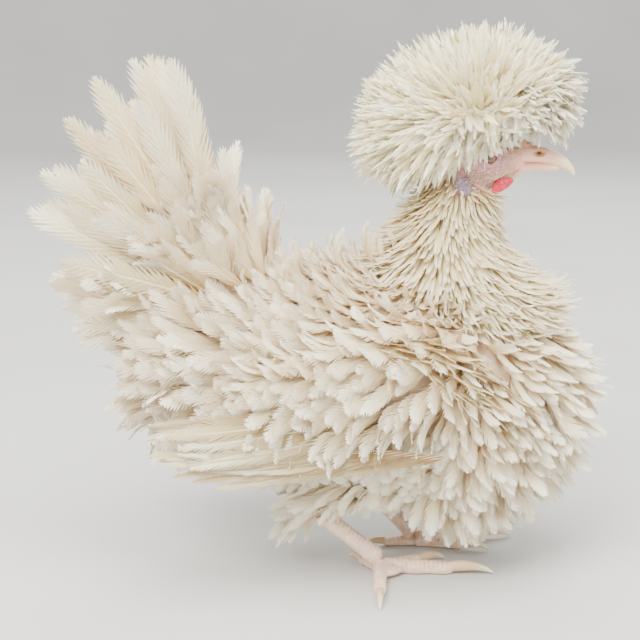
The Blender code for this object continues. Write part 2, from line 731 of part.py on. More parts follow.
def crest_vanes():
    """Narrow feathers that stand out all round the crest and arch away from the forehead."""
    length, width = CREST_FEATHER
    vanes = []
    for k in range(CREST_FEATHERS):
        rise = 1 - CREST_SPAN * (k + 0.5) / CREST_FEATHERS
        turn = k * math.pi * (3 - math.sqrt(5))
        level = math.sqrt(1 - rise * rise)
        out = np.array((level * math.cos(turn), level * math.sin(turn), rise))
        offset = out * CREST_RADII * (1, 1, 1 if rise > 0 else CREST_UNDERSIDE)
        point = CREST_CENTRE + offset + (0, 0, CREST_SLOPE * offset[0])
        normal = out / CREST_RADII
        normal[0] -= CREST_SLOPE * normal[2]
        lie = point - CREST_FOREHEAD - (0, 0, 0.01 * (1 - rise))
        vanes.append(Vane(point, lie, normal, varied(length), varied(width), 62, varied(38), profile=SPIKE))
    return vanes


def wing_vanes(side):
    """Flight feathers that sweep back along the flank in two tiers, and curled coverts above them."""
    vanes = []
    mirror = np.array((1, side, 1))
    for first, last, first_tip, last_tip, count, width, out in FLIGHT_TIERS:
        for share in np.linspace(0, 1, count):
            root = (np.array(first) * (1 - share) + np.array(last) * share) * mirror
            tip = (np.array(first_tip) * (1 - share) + np.array(last_tip) * share) * mirror
            root[1] += side * (out + 0.0012 * count * share)
            along = tip - root
            normal = np.array((0.0, side, 0.0))
            reach = np.linalg.norm(along)
            vanes.append(Vane(root, along, normal, reach, varied(width, 0.06), 0, varied(14, 0.5), sink=0.006,
                              profile=LONG))
    outward = 0.0 if side < 0 else math.pi
    length, width = WING_COVERT
    loft = wing_loft(side)
    for k, s in enumerate((0.10, 0.30, 0.50, 0.70)):
        for j in (-1, 0, 1):
            angle = outward + side * 0.85 * (j + 0.4 * (k % 2 - 0.5))
            lie = np.array((-1.0, 0.0, -0.35))
            vanes.append(Vane(loft.at(s, angle), lie, loft.normal(s, angle), varied(length), varied(width), 6,
                              varied(88)))
    return vanes


def tail_vanes():
    """The fan of tail feathers, two layers that lean apart, with coverts over their roots."""
    x, y, z = TAIL_ROOT
    vanes = []
    for side, _ in SIDES:
        for i, (rise, length) in enumerate(TAIL_FAN):
            turn = math.radians(rise + (2.5 if side > 0 else 0))
            root = np.array((x, side * (0.0025 + 0.0022 * i), z))
            spread = side * (0.0045 + 0.0036 * i)
            along = np.array((length * math.cos(turn), spread, length * math.sin(turn)))
            vanes.append(Vane(root + 0.12 * along, along, (0.0, side, 0.0), 0.88 * length,
                              varied(TAIL_WIDTH, 0.06), 0, varied(16, 0.4), sink=0.008, profile=LONG))
        for i in range(4):
            turn = math.radians(106 + 19 * i)
            along = np.array((math.cos(turn), 0.25 * side, math.sin(turn)))
            root = np.array((x + 0.004, side * 0.014, z)) + 0.014 * along
            vanes.append(Vane(root, along, (0.0, side, 0.0), *map(varied, TAIL_COVERT), 12, varied(70)))
    return vanes


def thigh_vanes(leg):
    """The short feathers of a thigh, down to the hock."""
    lie = np.array((-0.25, 0.0, -1.0))
    return [Vane(point, lie, normal, *map(varied, THIGH_FEATHER), 8, varied(60))
            for point, normal in roots_on(leg.thigh_loft(), (0.5, 0.72), 0.022)]


def add_feathers():
    """Joins the feathers to their nodes, each clear of every other node as it is by then."""
    trees = {obj.name: tree_of(obj) for obj in bpy.data.objects}
    coats = [(f"wing_{word}", wing_vanes(side)) for side, word in SIDES]
    coats += [("tail", tail_vanes()), ("crest", crest_vanes()), ("neck", neck_vanes())]
    coats += [(f"thigh_{leg.name}", thigh_vanes(leg)) for leg in (RIGHT_LEG, LEFT_LEG)]
    coats.append(("torso", torso_vanes()))
    for name, vanes in coats:
        others = [tree for other, tree in trees.items() if other != name]
        fuse_vanes(bpy.data.objects[name], vanes, others)
        trees[name] = tree_of(bpy.data.objects[name])


def centre_on_feet():
    """Shifts every solid so that the middle of the bird's box is over the origin."""
    for obj in bpy.data.objects:
        obj.data.transform(Matrix.Translation(CENTRE_SHIFT))


def main():
    """Builds every node, the coat last."""
    clear_scene()
    make_trunk()
    make_head()
    make_eyes()
    make_bill()
    make_comb()
    make_face_skin()
    make_crest()
    for side, word in SIDES:
        make_wing(side, word)
    for leg in (RIGHT_LEG, LEFT_LEG):
        make_leg(leg)
    add_feathers()
    centre_on_feet()


main()
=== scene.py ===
"""The looks of a frizzled crested hen, life size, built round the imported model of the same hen.

Metres, +Z up. She faces +X and her right side is -Y. Every body form is a loft along a centreline, and every
feather is a thin closed vane worked out as whole arrays from its root, its lie and its curl.
"""

from __future__ import annotations

import logging
import math
from dataclasses import dataclass, field, fields
from enum import Enum
from typing import Any

import bpy
import numpy as np
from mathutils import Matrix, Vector


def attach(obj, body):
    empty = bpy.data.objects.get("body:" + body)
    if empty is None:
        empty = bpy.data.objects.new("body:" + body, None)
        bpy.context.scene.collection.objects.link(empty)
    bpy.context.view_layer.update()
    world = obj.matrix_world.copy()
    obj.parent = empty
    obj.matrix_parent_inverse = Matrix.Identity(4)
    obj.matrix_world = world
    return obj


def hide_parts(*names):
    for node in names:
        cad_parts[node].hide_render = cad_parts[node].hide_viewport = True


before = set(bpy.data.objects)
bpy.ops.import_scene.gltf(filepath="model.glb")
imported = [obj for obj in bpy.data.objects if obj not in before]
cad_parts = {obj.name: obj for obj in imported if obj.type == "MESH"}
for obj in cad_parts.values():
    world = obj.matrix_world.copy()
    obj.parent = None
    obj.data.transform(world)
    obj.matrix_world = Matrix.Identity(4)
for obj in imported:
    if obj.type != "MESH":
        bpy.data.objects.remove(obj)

log = logging.getLogger("hen")
Array = np.ndarray
Draws = np.random.Generator
Material = bpy.types.Material
Triple = tuple[float, float, float]

CENTRE_SHIFT = 0.037
BODY = "root"
BAKE_PATCH = 0.003
GOLDEN_ANGLE = math.pi * (3 - math.sqrt(5))
SHAFT_STATIONS = 16
SHARP_DEGREES = 50.0


class Side(Enum):
    """A side of the hen, with the sign of its Y."""

    RIGHT = -1
    LEFT = 1

    @property
    def word(self) -> str:
        """The side's name as the nodes have it."""
        return self.name.lower()


def paint(code: str) -> tuple[float, float, float, float]:
    """A screen colour such as "E8DCC4" as linear red, green, blue and 1."""
    values = [int(code[i:i + 2], 16) / 255 for i in (0, 2, 4)]
    linear = [v / 12.92 if v <= 0.04045 else ((v + 0.055) / 1.055) ** 2.4 for v in values]
    return (*linear, 1.0)


def unit(vectors: Array) -> Array:
    """The vectors, each divided by its own length."""
    vectors = np.asarray(vectors, float)
    return vectors / np.maximum(np.linalg.norm(vectors, axis=-1, keepdims=True), 1e-12)


def smooth(low: float, high: float, value: Array) -> Array:
    """The soft step 3t^2 - 2t^3, where t goes from 0 at low to 1 at high."""
    t = np.clip((np.asarray(value, float) - low) / (high - low), 0, 1)
    return t * t * (3 - 2 * t)


def place(x: float, y: float, z: float) -> Array:
    """A point of the hen's own frame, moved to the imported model's origin."""
    return np.array((x + CENTRE_SHIFT, y, z))


# Shader maths

class Value:
    """A number socket of a node tree, with the arithmetic that the finishes use."""

    def __init__(self, graph: Graph, socket: Any) -> None:
        """Wraps a socket of the graph."""
        self.graph = graph
        self.socket = socket

    def _math(self, operation: str, first: Any, second: Any = 0.0, third: Any = 0.0) -> Value:
        """Adds one Math node.

        Args:
            operation: The node's operation.
            first, second, third: Its inputs, numbers or values.
        Returns:
            The node's output.
        """
        made = self.graph.node("ShaderNodeMath", {"operation": operation}, {0: first, 1: second, 2: third})
        return Value(self.graph, made.outputs[0])

    def __add__(self, other: Any) -> Value:
        """Self plus other."""
        return self._math("ADD", self, other)

    __radd__ = __add__

    def __mul__(self, other: Any) -> Value:
        """Self times other."""
        return self._math("MULTIPLY", self, other)

    __rmul__ = __mul__

    def __sub__(self, other: Any) -> Value:
        """Self minus other."""
        return self._math("SUBTRACT", self, other)

    def __rsub__(self, other: Any) -> Value:
        """Other minus self."""
        return self._math("SUBTRACT", other, self)

    def __pow__(self, other: Any) -> Value:
        """Self to the power of other."""
        return self._math("POWER", self, other)

    def sine(self) -> Value:
        """The sine of self."""
        return self._math("SINE", self)

    def size(self) -> Value:
        """The absolute value of self."""
        return self._math("ABSOLUTE", self)

    def step(self, low: float, high: float) -> Value:
        """A soft step from 0 at low to 1 at high."""
        made = self.graph.node("ShaderNodeMapRange", {"interpolation_type": "SMOOTHSTEP"},
                               {0: self, 1: low, 2: high})
        return Value(self.graph, made.outputs["Result"])


class Graph:
    """A material's node tree with one Principled shader."""

    def __init__(self, name: str, roughness: float, **fixed: float) -> None:
        """Makes the material.

        Args:
            name: The material's name.
            roughness: The shader's roughness.
            fixed: Numbers set on its other sockets, by name.
        """
        self.material = bpy.data.materials.new(name)
        self.material.use_nodes = True
        self.tree = self.material.node_tree
        self.shader = self.tree.nodes["Principled BSDF"]
        self.shader.inputs["Roughness"].default_value = roughness
        for key, number in fixed.items():
            self.shader.inputs[key.replace("_", " ")].default_value = number

    def node(self, kind: str, settings: dict[str, Any] | None = None,
             links: dict[Any, Any] | None = None) -> Any:
        """Adds a node.

        Args:
            kind: The node's type.
            settings: Its properties, set first.
            links: What goes into its sockets, by name or number: a value, a socket or a constant.
        Returns:
            The node.
        """
        made = self.tree.nodes.new(kind)
        for key, setting in (settings or {}).items():
            setattr(made, key, setting)
        for key, source in (links or {}).items():
            self.join(source, made.inputs[key])
        return made

    def join(self, source: Any, socket: Any) -> None:
        """Feeds a socket.

        Args:
            source: A value, another socket, a constant or the code of a colour.
            socket: The socket that it feeds.
        """
        source = source.socket if isinstance(source, Value) else source
        source = paint(source) if isinstance(source, str) else source
        if isinstance(source, bpy.types.NodeSocket):
            self.tree.links.new(source, socket)
        else:
            socket.default_value = source

    def attribute(self, name: str) -> Value:
        """A number that the mesh holds at each point."""
        made = self.node("ShaderNodeAttribute", {"attribute_name": name})
        return Value(self, made.outputs["Fac"])

    def noise(self, scale: float, detail: float = 3.0,
              stretch: Triple = (1, 1, 1)) -> Value:
        """Noise on Object coordinates.

        Args:
            scale: How fine it is.
            detail: How many finer layers it has.
            stretch: What each coordinate is multiplied by first.
        Returns:
            The noise, from 0 to 1.
        """
        where = self.node("ShaderNodeTexCoord").outputs["Object"]
        mapped = self.node("ShaderNodeMapping", None, {"Vector": where, "Scale": stretch})
        made = self.node("ShaderNodeTexNoise", None,
                         {"Vector": mapped.outputs[0], "Scale": scale, "Detail": detail})
        return Value(self, made.outputs[0])

    def cells(self, scale: float) -> Value:
        """The distance to the edge of Voronoi cells on Object coordinates, at the scale."""
        where = self.node("ShaderNodeTexCoord").outputs["Object"]
        made = self.node("ShaderNodeTexVoronoi", {"feature": "DISTANCE_TO_EDGE"},
                         {"Vector": where, "Scale": scale})
        return Value(self, made.outputs["Distance"])

    def mix(self, factor: Any, first: Any, second: Any) -> Any:
        """The colour between first and second at the factor. Each is a colour's code or a socket."""
        made = self.node("ShaderNodeMix", {"data_type": "RGBA"}, {0: factor, 6: first, 7: second})
        return made.outputs[2]

    def bump(self, height: Value, strength: float, distance: float) -> None:
        """Feeds the shader's Normal from a height."""
        made = self.node("ShaderNodeBump", None,
                         {"Height": height, "Strength": strength, "Distance": distance})
        self.join(made.outputs[0], self.shader.inputs["Normal"])

    def colour(self, source: Any) -> None:
        """Feeds the shader's Base Color."""
        self.join(source, self.shader.inputs["Base Color"])


@dataclass(frozen=True)
class FeatherFinish:
    """The colours of a feather from its root, darkened as painted shade, to its tip, and how many clumps and
    barbs its painted shade shows.
    """

    name: str
    # root: the colour at the feather's root, darkened as painted shade between overlapping feathers
    root: str
    middle: str
    tip: str
    shaft: str
    warm: str
    clumps: float = 15.0
    barbs: float = 52.0

    def material(self) -> Material:
        """Runs from a root colour darkened as painted shade to a light tip, with a light shaft, painted shade
        between clumped and fine barbs and each feather's own tint.
        """
        graph = Graph(self.name, 0.75, Subsurface_Weight=0.25, Subsurface_Scale=0.004)
        along = graph.attribute("along")
        across = graph.attribute("across")
        tint = graph.attribute("tint")
        barb = graph.attribute("barb") + tint * 0.37
        # The root colour is painted shade between overlapping feathers; the colour lightens towards the tip.
        colour = graph.mix(along.step(0.02, 0.55), self.root, self.middle)
        colour = graph.mix(along.step(0.45, 0.92), colour, self.tip)
        colour = graph.mix(tint.step(0.4, 1.1) * 0.6, colour, self.warm)
        patches = graph.noise(30.0, 2.0)
        colour = graph.mix(patches.step(0.5, 0.75) * 0.3, colour, self.warm)
        clumped = (barb * self.clumps * math.tau + across.size()).sine() * 0.5 + 0.5
        fine = (barb * self.barbs * math.tau).sine() * 0.5 + 0.5
        # Painted shade: the gaps between barb clumps and between barbs are mixed towards the root colour,
        # most near the root.
        shade = (clumped ** 2.0) * 0.2 + fine * 0.1
        colour = graph.mix(shade * (1.15 - along.step(0.3, 1.0) * 0.75), colour, self.root)
        shaft = (1 - across.size().step(0.03, 0.11)) * (1 - along.step(0.8, 0.95))
        colour = graph.mix(shaft * 0.6, colour, self.shaft)
        graph.colour(colour)
        graph.bump(clumped * 1.4 + fine * 0.6 + shaft * 2.0, 0.5, 0.0004)
        return graph.material


# Whole-array meshes

@dataclass
class Shape:
    """Points and triangles of a mesh, with what each point holds."""

    points: Array
    triangles: Array
    values: dict[str, Array] = field(default_factory=dict)
    bake: Array | None = None

    @staticmethod
    def united(shapes: list[Shape]) -> Shape:
        """Several shapes as one.

        Args:
            shapes: The shapes, which all hold the same values.
        Returns:
            One shape with all of their points and triangles.
        """
        first = shapes[0]
        starts = np.cumsum([0] + [len(shape.points) for shape in shapes[:-1]])
        triangles = np.concatenate([shape.triangles + start for shape, start in zip(shapes, starts)])
        values = {key: np.concatenate([shape.values[key] for shape in shapes]) for key in first.values}
        bake = None if first.bake is None else np.concatenate([shape.bake for shape in shapes])
        return Shape(np.concatenate([shape.points for shape in shapes]), triangles, values, bake)

    @staticmethod
    def closed(points: Array, sides: int) -> Shape:
        """A closed mesh that faces outwards.

        The volume inside is the sum of a . (b x c) / 6 over the triangles. If it is negative, they are turned
        round.

        Args:
            points: The points of all rings, then the point at the first end and the one at the last.
            sides: How many points a ring has.
        Returns:
            The shape.
        """
        first = len(points) - 2
        triangles = np.concatenate([band(first // sides, sides), cap(first, 0, sides)[:, [0, 2, 1]],
                                    cap(first + 1, first - sides, sides)])
        corner = points[triangles]
        if np.einsum("ij,ij->i", corner[:, 0], np.cross(corner[:, 1], corner[:, 2])).sum() < 0:
            triangles = triangles[:, ::-1]
        return Shape(points, triangles)

    def object(self, name: str, material: Material | None,
               sharp: float | None = None) -> bpy.types.Object:
        """Puts the shape into a mesh object at the origin.

        Args:
            name: The object's name.
            material: Its material.
            sharp: The angle in degrees past which an edge stays sharp, or None for a smooth surface.
        Returns:
            The object.
        """
        mesh = bpy.data.meshes.new(name)
        corners = self.triangles.astype(np.int32).ravel()
        mesh.vertices.add(len(self.points))
        write_points(mesh, self.points)
        mesh.loops.add(len(corners))
        mesh.loops.foreach_set("vertex_index", corners)
        mesh.polygons.add(len(self.triangles))
        mesh.polygons.foreach_set("loop_start", np.arange(0, len(corners), 3, dtype=np.int32))
        mesh.polygons.foreach_set("use_smooth", np.ones(len(self.triangles), bool))
        for key, numbers in self.values.items():
            add_value(mesh, key, numbers)
        if self.bake is not None:
            layer = mesh.uv_layers.new(name="OFBake")
            layer.uv.foreach_set("vector", self.bake[corners].astype(np.float32).ravel())
        mesh.update(calc_edges=True)
        if sharp is not None:
            mesh.set_sharp_from_angle(angle=math.radians(sharp))
        if material:
            mesh.materials.append(material)
        made = bpy.data.objects.new(name, mesh)
        bpy.context.scene.collection.objects.link(made)
        return made


def band(rings: int, sides: int) -> Array:
    """The triangles between rings of points that follow one another, two for each square.

    Args:
        rings: How many rings there are.
        sides: How many points each has.
    Returns:
        The triangles.
    """
    i, j = np.meshgrid(np.arange(rings - 1), np.arange(sides), indexing="ij")
    a, b = (i * sides + j).ravel(), (i * sides + (j + 1) % sides).ravel()
    return np.concatenate([np.stack([a, b, b + sides], 1), np.stack([a, b + sides, a + sides], 1)])


def cap(middle: int, base: int, sides: int) -> Array:
    """The triangles from a middle point to each side of the ring of points that starts at base."""
    j = np.arange(sides)
    return np.stack([np.full(sides, middle), base + j, base + (j + 1) % sides], 1)


def present(piece: bpy.types.Object, slot: str, *nodes: str) -> None:
    """Makes a piece ride on the body, in place of its nodes.

    Args:
        piece: The piece.
        slot: The record's slot; not used.
        nodes: The nodes that the piece stands for.
    """
    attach(piece, BODY)
    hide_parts(*nodes)
    log.info("%s: %d faces for %s", piece.name, len(piece.data.polygons), ", ".join(nodes))


def read_vectors(items: Any, key: str) -> Array:
    """A vector of each of a mesh's items, such as the places of its points."""
    vectors = np.empty(len(items) * 3, np.float32)
    items.foreach_get(key, vectors)
    return vectors.reshape(-1, 3).astype(float)


def write_points(mesh: bpy.types.Mesh, points: Array) -> None:
    """Puts a mesh's points in their places."""
    mesh.vertices.foreach_set("co", points.astype(np.float32).ravel())


def add_value(mesh: bpy.types.Mesh, name: str, numbers: Array) -> None:
    """Gives each point of a mesh a number."""
    attribute = mesh.attributes.new(name, "FLOAT", "POINT")
    attribute.data.foreach_set("value", numbers.astype(np.float32).ravel())


def remeshed(name: str, shapes: list[Shape], voxel: float, relax: int) -> bpy.types.Object:
    """One closed surface round several closed shapes.

    Args:
        name: The object's name.
        shapes: Closed shapes that overlap.
        voxel: The size of the new faces.
        relax: How many times each point moves half way to its neighbours' middle.
    Returns:
        The object, with its modifiers applied.
    """
    made = Shape.united(shapes).object(name, None)
    remesh = made.modifiers.new("skin", "REMESH")
    remesh.mode = "VOXEL"
    remesh.voxel_size = voxel
    soften = made.modifiers.new("soften", "SMOOTH")
    soften.factor = 0.5
    soften.iterations = relax
    graph = bpy.context.evaluated_depsgraph_get()
    result = bpy.data.meshes.new_from_object(made.evaluated_get(graph))
    made.modifiers.clear()
    made.data = result
    result.shade_smooth()
    return made


def reworked(piece: bpy.types.Object, points: Array, values: dict[str, Array],
             material: Material) -> None:
    """Finishes a remeshed piece.

    Args:
        piece: The piece.
        points: The new places of its points.
        values: The numbers that each point gets, by name.
        material: The piece's material.
    """
    write_points(piece.data, points)
    for key, numbers in values.items():
        add_value(piece.data, key, numbers)
    piece.data.update()
    piece.data.materials.append(material)


class Loft:
    """A closed body along a centreline. Rows are (x, y, z, side, up, down), the last three its radii."""

    STEP = 1e-3  # the change of s or angle that slopes are taken over
    STATIONS = 60  # the places along the centreline that a point is held against
    END_SLACK = 0.004  # how far past an end a point still counts as beside it
    STAGGER = 0.866  # how far staggered rows are apart, as a share of the pitch
    WANDER = 0.25  # how far a root strays, as a share of the distance to its neighbour

    def __init__(self, rows: Any, rounding: tuple[float, float] = (0.2, 0.2),
                 hint: Triple = (0, 1, 0), floor: float | None = None) -> None:
        """Keeps what makes the surface.

        Args:
            rows: The rows, in the hen's own frame.
            rounding: The shares of the length that the two ends are rounded over.
            hint: The direction that the side radius is close to.
            floor: The height under which the surface is pressed flat, if there is one.
        """
        self.rows = np.asarray(rows, float)
        self.rows[:, 0] += CENTRE_SHIFT
        self.rounding = rounding
        self.hint = np.asarray(hint, float)
        self.floor = floor

    def row(self, s: Array) -> Array:
        """The rows read at s on a Catmull-Rom curve.

        Between rows b and c it is half of 2b + (c - a)f + (2a - 5b + 4c - d)f^2 + (3b - a - 3c + d)f^3.
        """
        t = np.clip(s, 0, 1) * (len(self.rows) - 1)
        i = np.minimum(t.astype(int), len(self.rows) - 2)
        f = (t - i)[:, None]
        before, after = 2 * self.rows[0] - self.rows[1], 2 * self.rows[-1] - self.rows[-2]
        ends = np.concatenate([[before], self.rows, [after]])
        a, b, c, d = ends[i], ends[i + 1], ends[i + 2], ends[i + 3]
        square, cube = 2 * a - 5 * b + 4 * c - d, 3 * b - a - 3 * c + d
        return 0.5 * (2 * b + (c - a) * f + square * f**2 + cube * f**3)

    def basis(self, s: Array) -> tuple[Array, Array, Array, Array]:
        """The rows at s with the directions along, side and up there."""
        rows = self.row(s)
        along = unit(self.row(s + self.STEP)[:, :3] - self.row(s - self.STEP)[:, :3])
        side = unit(self.hint - along * (along @ self.hint)[:, None])
        return rows, along, side, np.cross(along, side)

    def at(self, s: Array, angle: Array, grow: float = 0.0) -> Array:
        """Points of the surface: centre + side * a cos(angle) + up * b sin(angle), closed at the ends.

        The radii shrink by sqrt(1 - rise^2) * sqrt(1 - fall^2), where rise and fall go from 1 at an end to 0
        where its rounding stops.

        Args:
            s: How far along they are, from 0 to 1.
            angle: How far round they are.
            grow: How far outside the surface they are.
        Returns:
            The points.
        """
        s, angle = np.broadcast_arrays(np.asarray(s, float), np.asarray(angle, float))
        shape = s.shape
        s, angle = s.ravel(), angle.ravel()
        rows, along, side, up = self.basis(s)
        rise = np.clip(1 - s / self.rounding[0], 0, 1)
        fall = np.clip(1 - (1 - s) / self.rounding[1], 0, 1)
        closing = np.sqrt(1 - rise**2) * np.sqrt(1 - fall**2)
        high = np.where(np.sin(angle) > 0, rows[:, 4], rows[:, 5])
        points = rows[:, :3] + side * ((rows[:, 3] + grow) * closing * np.cos(angle))[:, None]
        points += (up * ((high + grow) * closing * np.sin(angle))[:, None]
                   + along * (grow * (fall - rise))[:, None])
        if self.floor is not None:
            points[:, 2] = np.maximum(points[:, 2], self.floor)
        return points.reshape(shape + (3,))

    def normal(self, s: Array, angle: Array) -> Array:
        """The outward direction at s and angle, from the cross product of the two slopes."""
        step = self.STEP
        ds = self.at(np.clip(s + step, 0, 1), angle) - self.at(np.clip(s - step, 0, 1), angle)
        da = self.at(s, angle + step) - self.at(s, angle - step)
        return unit(np.cross(da, ds))

    def shape(self, rings: int, sides: int, grow: float = 0.0) -> Shape:
        """The whole surface as a closed mesh. Its rings are closer together near rounded ends.

        Args:
            rings: How many parts the length is cut into.
            sides: How many points go round.
            grow: How far outside the surface the mesh is.
        Returns:
            The mesh.
        """
        steps = np.linspace(0, 1, rings + 1)
        bent = 0.5 - 0.5 * np.cos(math.pi * steps)
        share = min(1.0, 2 * max(self.rounding))
        s = (bent * share + steps * (1 - share))[1:-1]
        angle = np.arange(sides) / sides * math.tau
        rows = self.at(s[:, None], angle[None, :], grow).reshape(-1, 3)
        ends = self.at(np.array([0.0, 1.0]), np.zeros(2), grow)
        return Shape.closed(np.concatenate([rows, ends]), sides)

    def holds(self, points: Array, grow: float = 0.0) -> Array:
        """Which points are inside: nearest station along, and the ellipse's equation there under 1.

        Args:
            points: The points.
            grow: How far outside the surface still counts.
        Returns:
            True for each point inside.
        """
        s = np.linspace(0, 1, self.STATIONS)
        rows, along, side, up = self.basis(s)
        away = points[:, None, :] - rows[None, :, :3]
        offset = np.einsum("nkc,kc->nk", away, along)
        nearest = np.abs(offset).argmin(axis=1)
        pick = np.arange(len(points))
        away = away[pick, nearest]
        a = np.einsum("nc,nc->n", away, side[nearest])
        b = np.einsum("nc,nc->n", away, up[nearest])
        high = np.where(b > 0, rows[nearest, 4], rows[nearest, 5])
        level = (a / (rows[nearest, 3] + grow))**2 + (b / (high + grow))**2
        past_end = np.abs(offset[pick, nearest]) > self.END_SLACK + grow
        return (level < 1) & ~past_end

    def bed(self, low: float, high: float, pitch: float, sunk: float, draw: Draws) -> Bed:
        """Feather roots evenly spread over the surface, in staggered rows.

        Args:
            low, high: The stretch of s.
            pitch: The distance between neighbours.
            sunk: How deep they are under the surface.
            draw: The source of their differences.
        Returns:
            The roots.
        """
        fine = np.linspace(low, high, 200)
        angle = np.linspace(0, math.tau, 73)
        grid = self.at(fine[:, None], angle[None, :])
        step = np.linalg.norm(np.diff(grid, axis=0), axis=2).max(axis=1)
        travelled = np.concatenate([[0], np.cumsum(step)])
        rows = max(2, round(travelled[-1] / (self.STAGGER * pitch)))
        s = np.interp((np.arange(rows) + 0.5) / rows * travelled[-1], travelled, fine)
        girth = np.linalg.norm(np.diff(self.at(s[:, None], angle[None, :]), axis=1), axis=2).sum(axis=1)
        counts = np.maximum(3, np.round(girth / pitch).astype(int))
        row = np.repeat(np.arange(rows), counts)
        index = np.arange(counts.sum()) - np.repeat(np.cumsum(counts) - counts, counts)
        aside = draw.uniform(-self.WANDER, self.WANDER, len(row))
        turn = (index + 0.5 * (row % 2) + aside) / counts[row] * math.tau
        onward = draw.uniform(-self.WANDER, self.WANDER, len(row)) * (high - low) / rows
        s = np.clip(s[row] + onward, 0.002, 0.998)
        return Bed(draw, self.at(s, turn, -sunk), self.normal(s, turn), s, turn)


# Feathers

@dataclass(frozen=True)
class FeatherForm:
    """The outline of one kind of feather, all but the thickness as shares of its own length or width."""

    clumps: int = 9
    columns: int = 3
    base: float = 0.35
    widest: float = 0.6
    blunt: float = 2.4
    sweep: float = 0.2
    notch: float = 0.16
    splits: float = 0.08
    bend: float = 1.6
    cup: float = 0.14
    ruffle: float = 0.07
    bare: float = 0.04
    thickness: float = 0.0005

    TORN = (0.35, 0.75)  # how much shorter a barb beside a split is
    FRAYED = (0.2, 1.3)  # how deep a notch is, as a share of the form's own
    WHOLE = (0.94, 1.04)  # how long the other barbs are

    def half_width(self, share: Array) -> Array:
        """Half the width along the length: a quarter sine up to the widest place, then a superellipse."""
        rise = self.base + (1 - self.base) * np.sin(0.5 * math.pi * np.clip(share / self.widest, 0, 1))
        past = np.clip((share - self.widest) / (1 - self.widest), 0, 1)
        return np.where(share < self.widest, rise, (1 - past**self.blunt) ** (1 / self.blunt))

    def barbs(self) -> tuple[Array, Array]:
        """Where each row of barbs leaves the shaft, and where on the outline it ends.

        A barb ends sweep * half width further on than it starts, so that all keep one angle to the shaft.
        """
        ends = 1 - np.linspace(1, 0, 400) ** 2.0
        starts = ends - self.sweep * self.half_width(ends)
        start = self.bare + (0.99 - self.bare) * np.linspace(0, 1, 2 * self.clumps + 1)
        return start, np.interp(start, starts, ends)


@dataclass
class Flock:
    """Feathers of one form: an entry of each array for each feather, where one number may stand for all."""

    root: Array
    lie: Array
    normal: Array
    length: Any
    width: Any
    lift: Any
    curl: Any
    patch: Array
    sway: Any
    turn: Any
    tint: Any

    def __post_init__(self) -> None:
        """Lays each feather along its skin, and gives each its own entry of what was one number."""
        self.normal = unit(self.normal)
        self.lie = unit(self.lie - self.normal * np.einsum("nc,nc->n", self.lie, self.normal)[:, None])
        for key in ("length", "width", "lift", "curl", "sway", "turn", "tint"):
            setattr(self, key, np.broadcast_to(np.asarray(getattr(self, key), float), len(self.root)))

    def chosen(self, mask: Array) -> Flock:
        """The feathers that the mask keeps."""
        return Flock(*(getattr(self, entry.name)[mask] for entry in fields(self)))


@dataclass
class Bed:
    """Where the feathers of one flock root, and the random differences between them, drawn when asked for."""

    draw: Draws
    points: Array
    normals: Array
    along: Array
    angle: Any

    @classmethod
    def in_line(cls, draw: Draws, points: Array, normals: Array) -> Bed:
        """Roots off any surface, which get places in one line on the unwrap."""
        return cls(draw, points, normals, np.linspace(0.05, 0.95, len(points)), 0.97 * math.tau)

    @property
    def x(self) -> Array:
        """How far ahead each root is, in the hen's own frame."""
        return self.points[:, 0] - CENTRE_SHIFT

    @property
    def z(self) -> Array:
        """How high each root is."""
        return self.points[:, 2]

    def between(self, low: float = 0.0, high: float = 1.0) -> Array:
        """A number from low to high for each feather."""
        return self.draw.uniform(low, high, len(self.points))

    def degrees(self, low: float, high: float) -> Array:
        """An angle from low to high degrees for each feather, in radians."""
        return np.radians(self.between(low, high))

    def about(self, spread: float) -> Array:
        """A number about 0 for each feather, with the standard deviation given."""
        return self.draw.normal(0, spread, len(self.points))

    def ways(self, way: Any, spread: float) -> Array:
        """The wanted direction of each feather: the way, or each one's own, with a spread about it."""
        return way + self.draw.normal(0, spread, self.points.shape)

    def leaning(self, lie: Array) -> Array:
        """How far each wanted direction stands up from its skin, as an angle."""
        return np.arcsin(np.clip(np.einsum("nc,nc->n", unit(lie), self.normals), 0, 0.94))

    def flock(self, lie: Array, length: Any, width: Any, lift: Any, curl: Any, sway: Any, turn: Any,
              tint: Any) -> Flock:
        """The feathers that root here.

        A root's place on the unwrap of its own surface is its share of the length and of the turn.

        Args:
            lie: The wanted directions.
            length, width: Their sizes.
            lift, curl: The angles to the skin at the root and at the tip.
            sway, turn: The angles that they bend aside and roll by.
            tint: How warm each is.
        Returns:
            The flock.
        """
        round_share = np.broadcast_to((self.angle / math.tau) % 1.0, len(self.points))
        patch = 0.02 + 0.96 * np.stack([self.along, round_share], axis=1)
        return Flock(self.points, lie, self.normals, length, width, lift, curl, patch, sway, turn, tint)


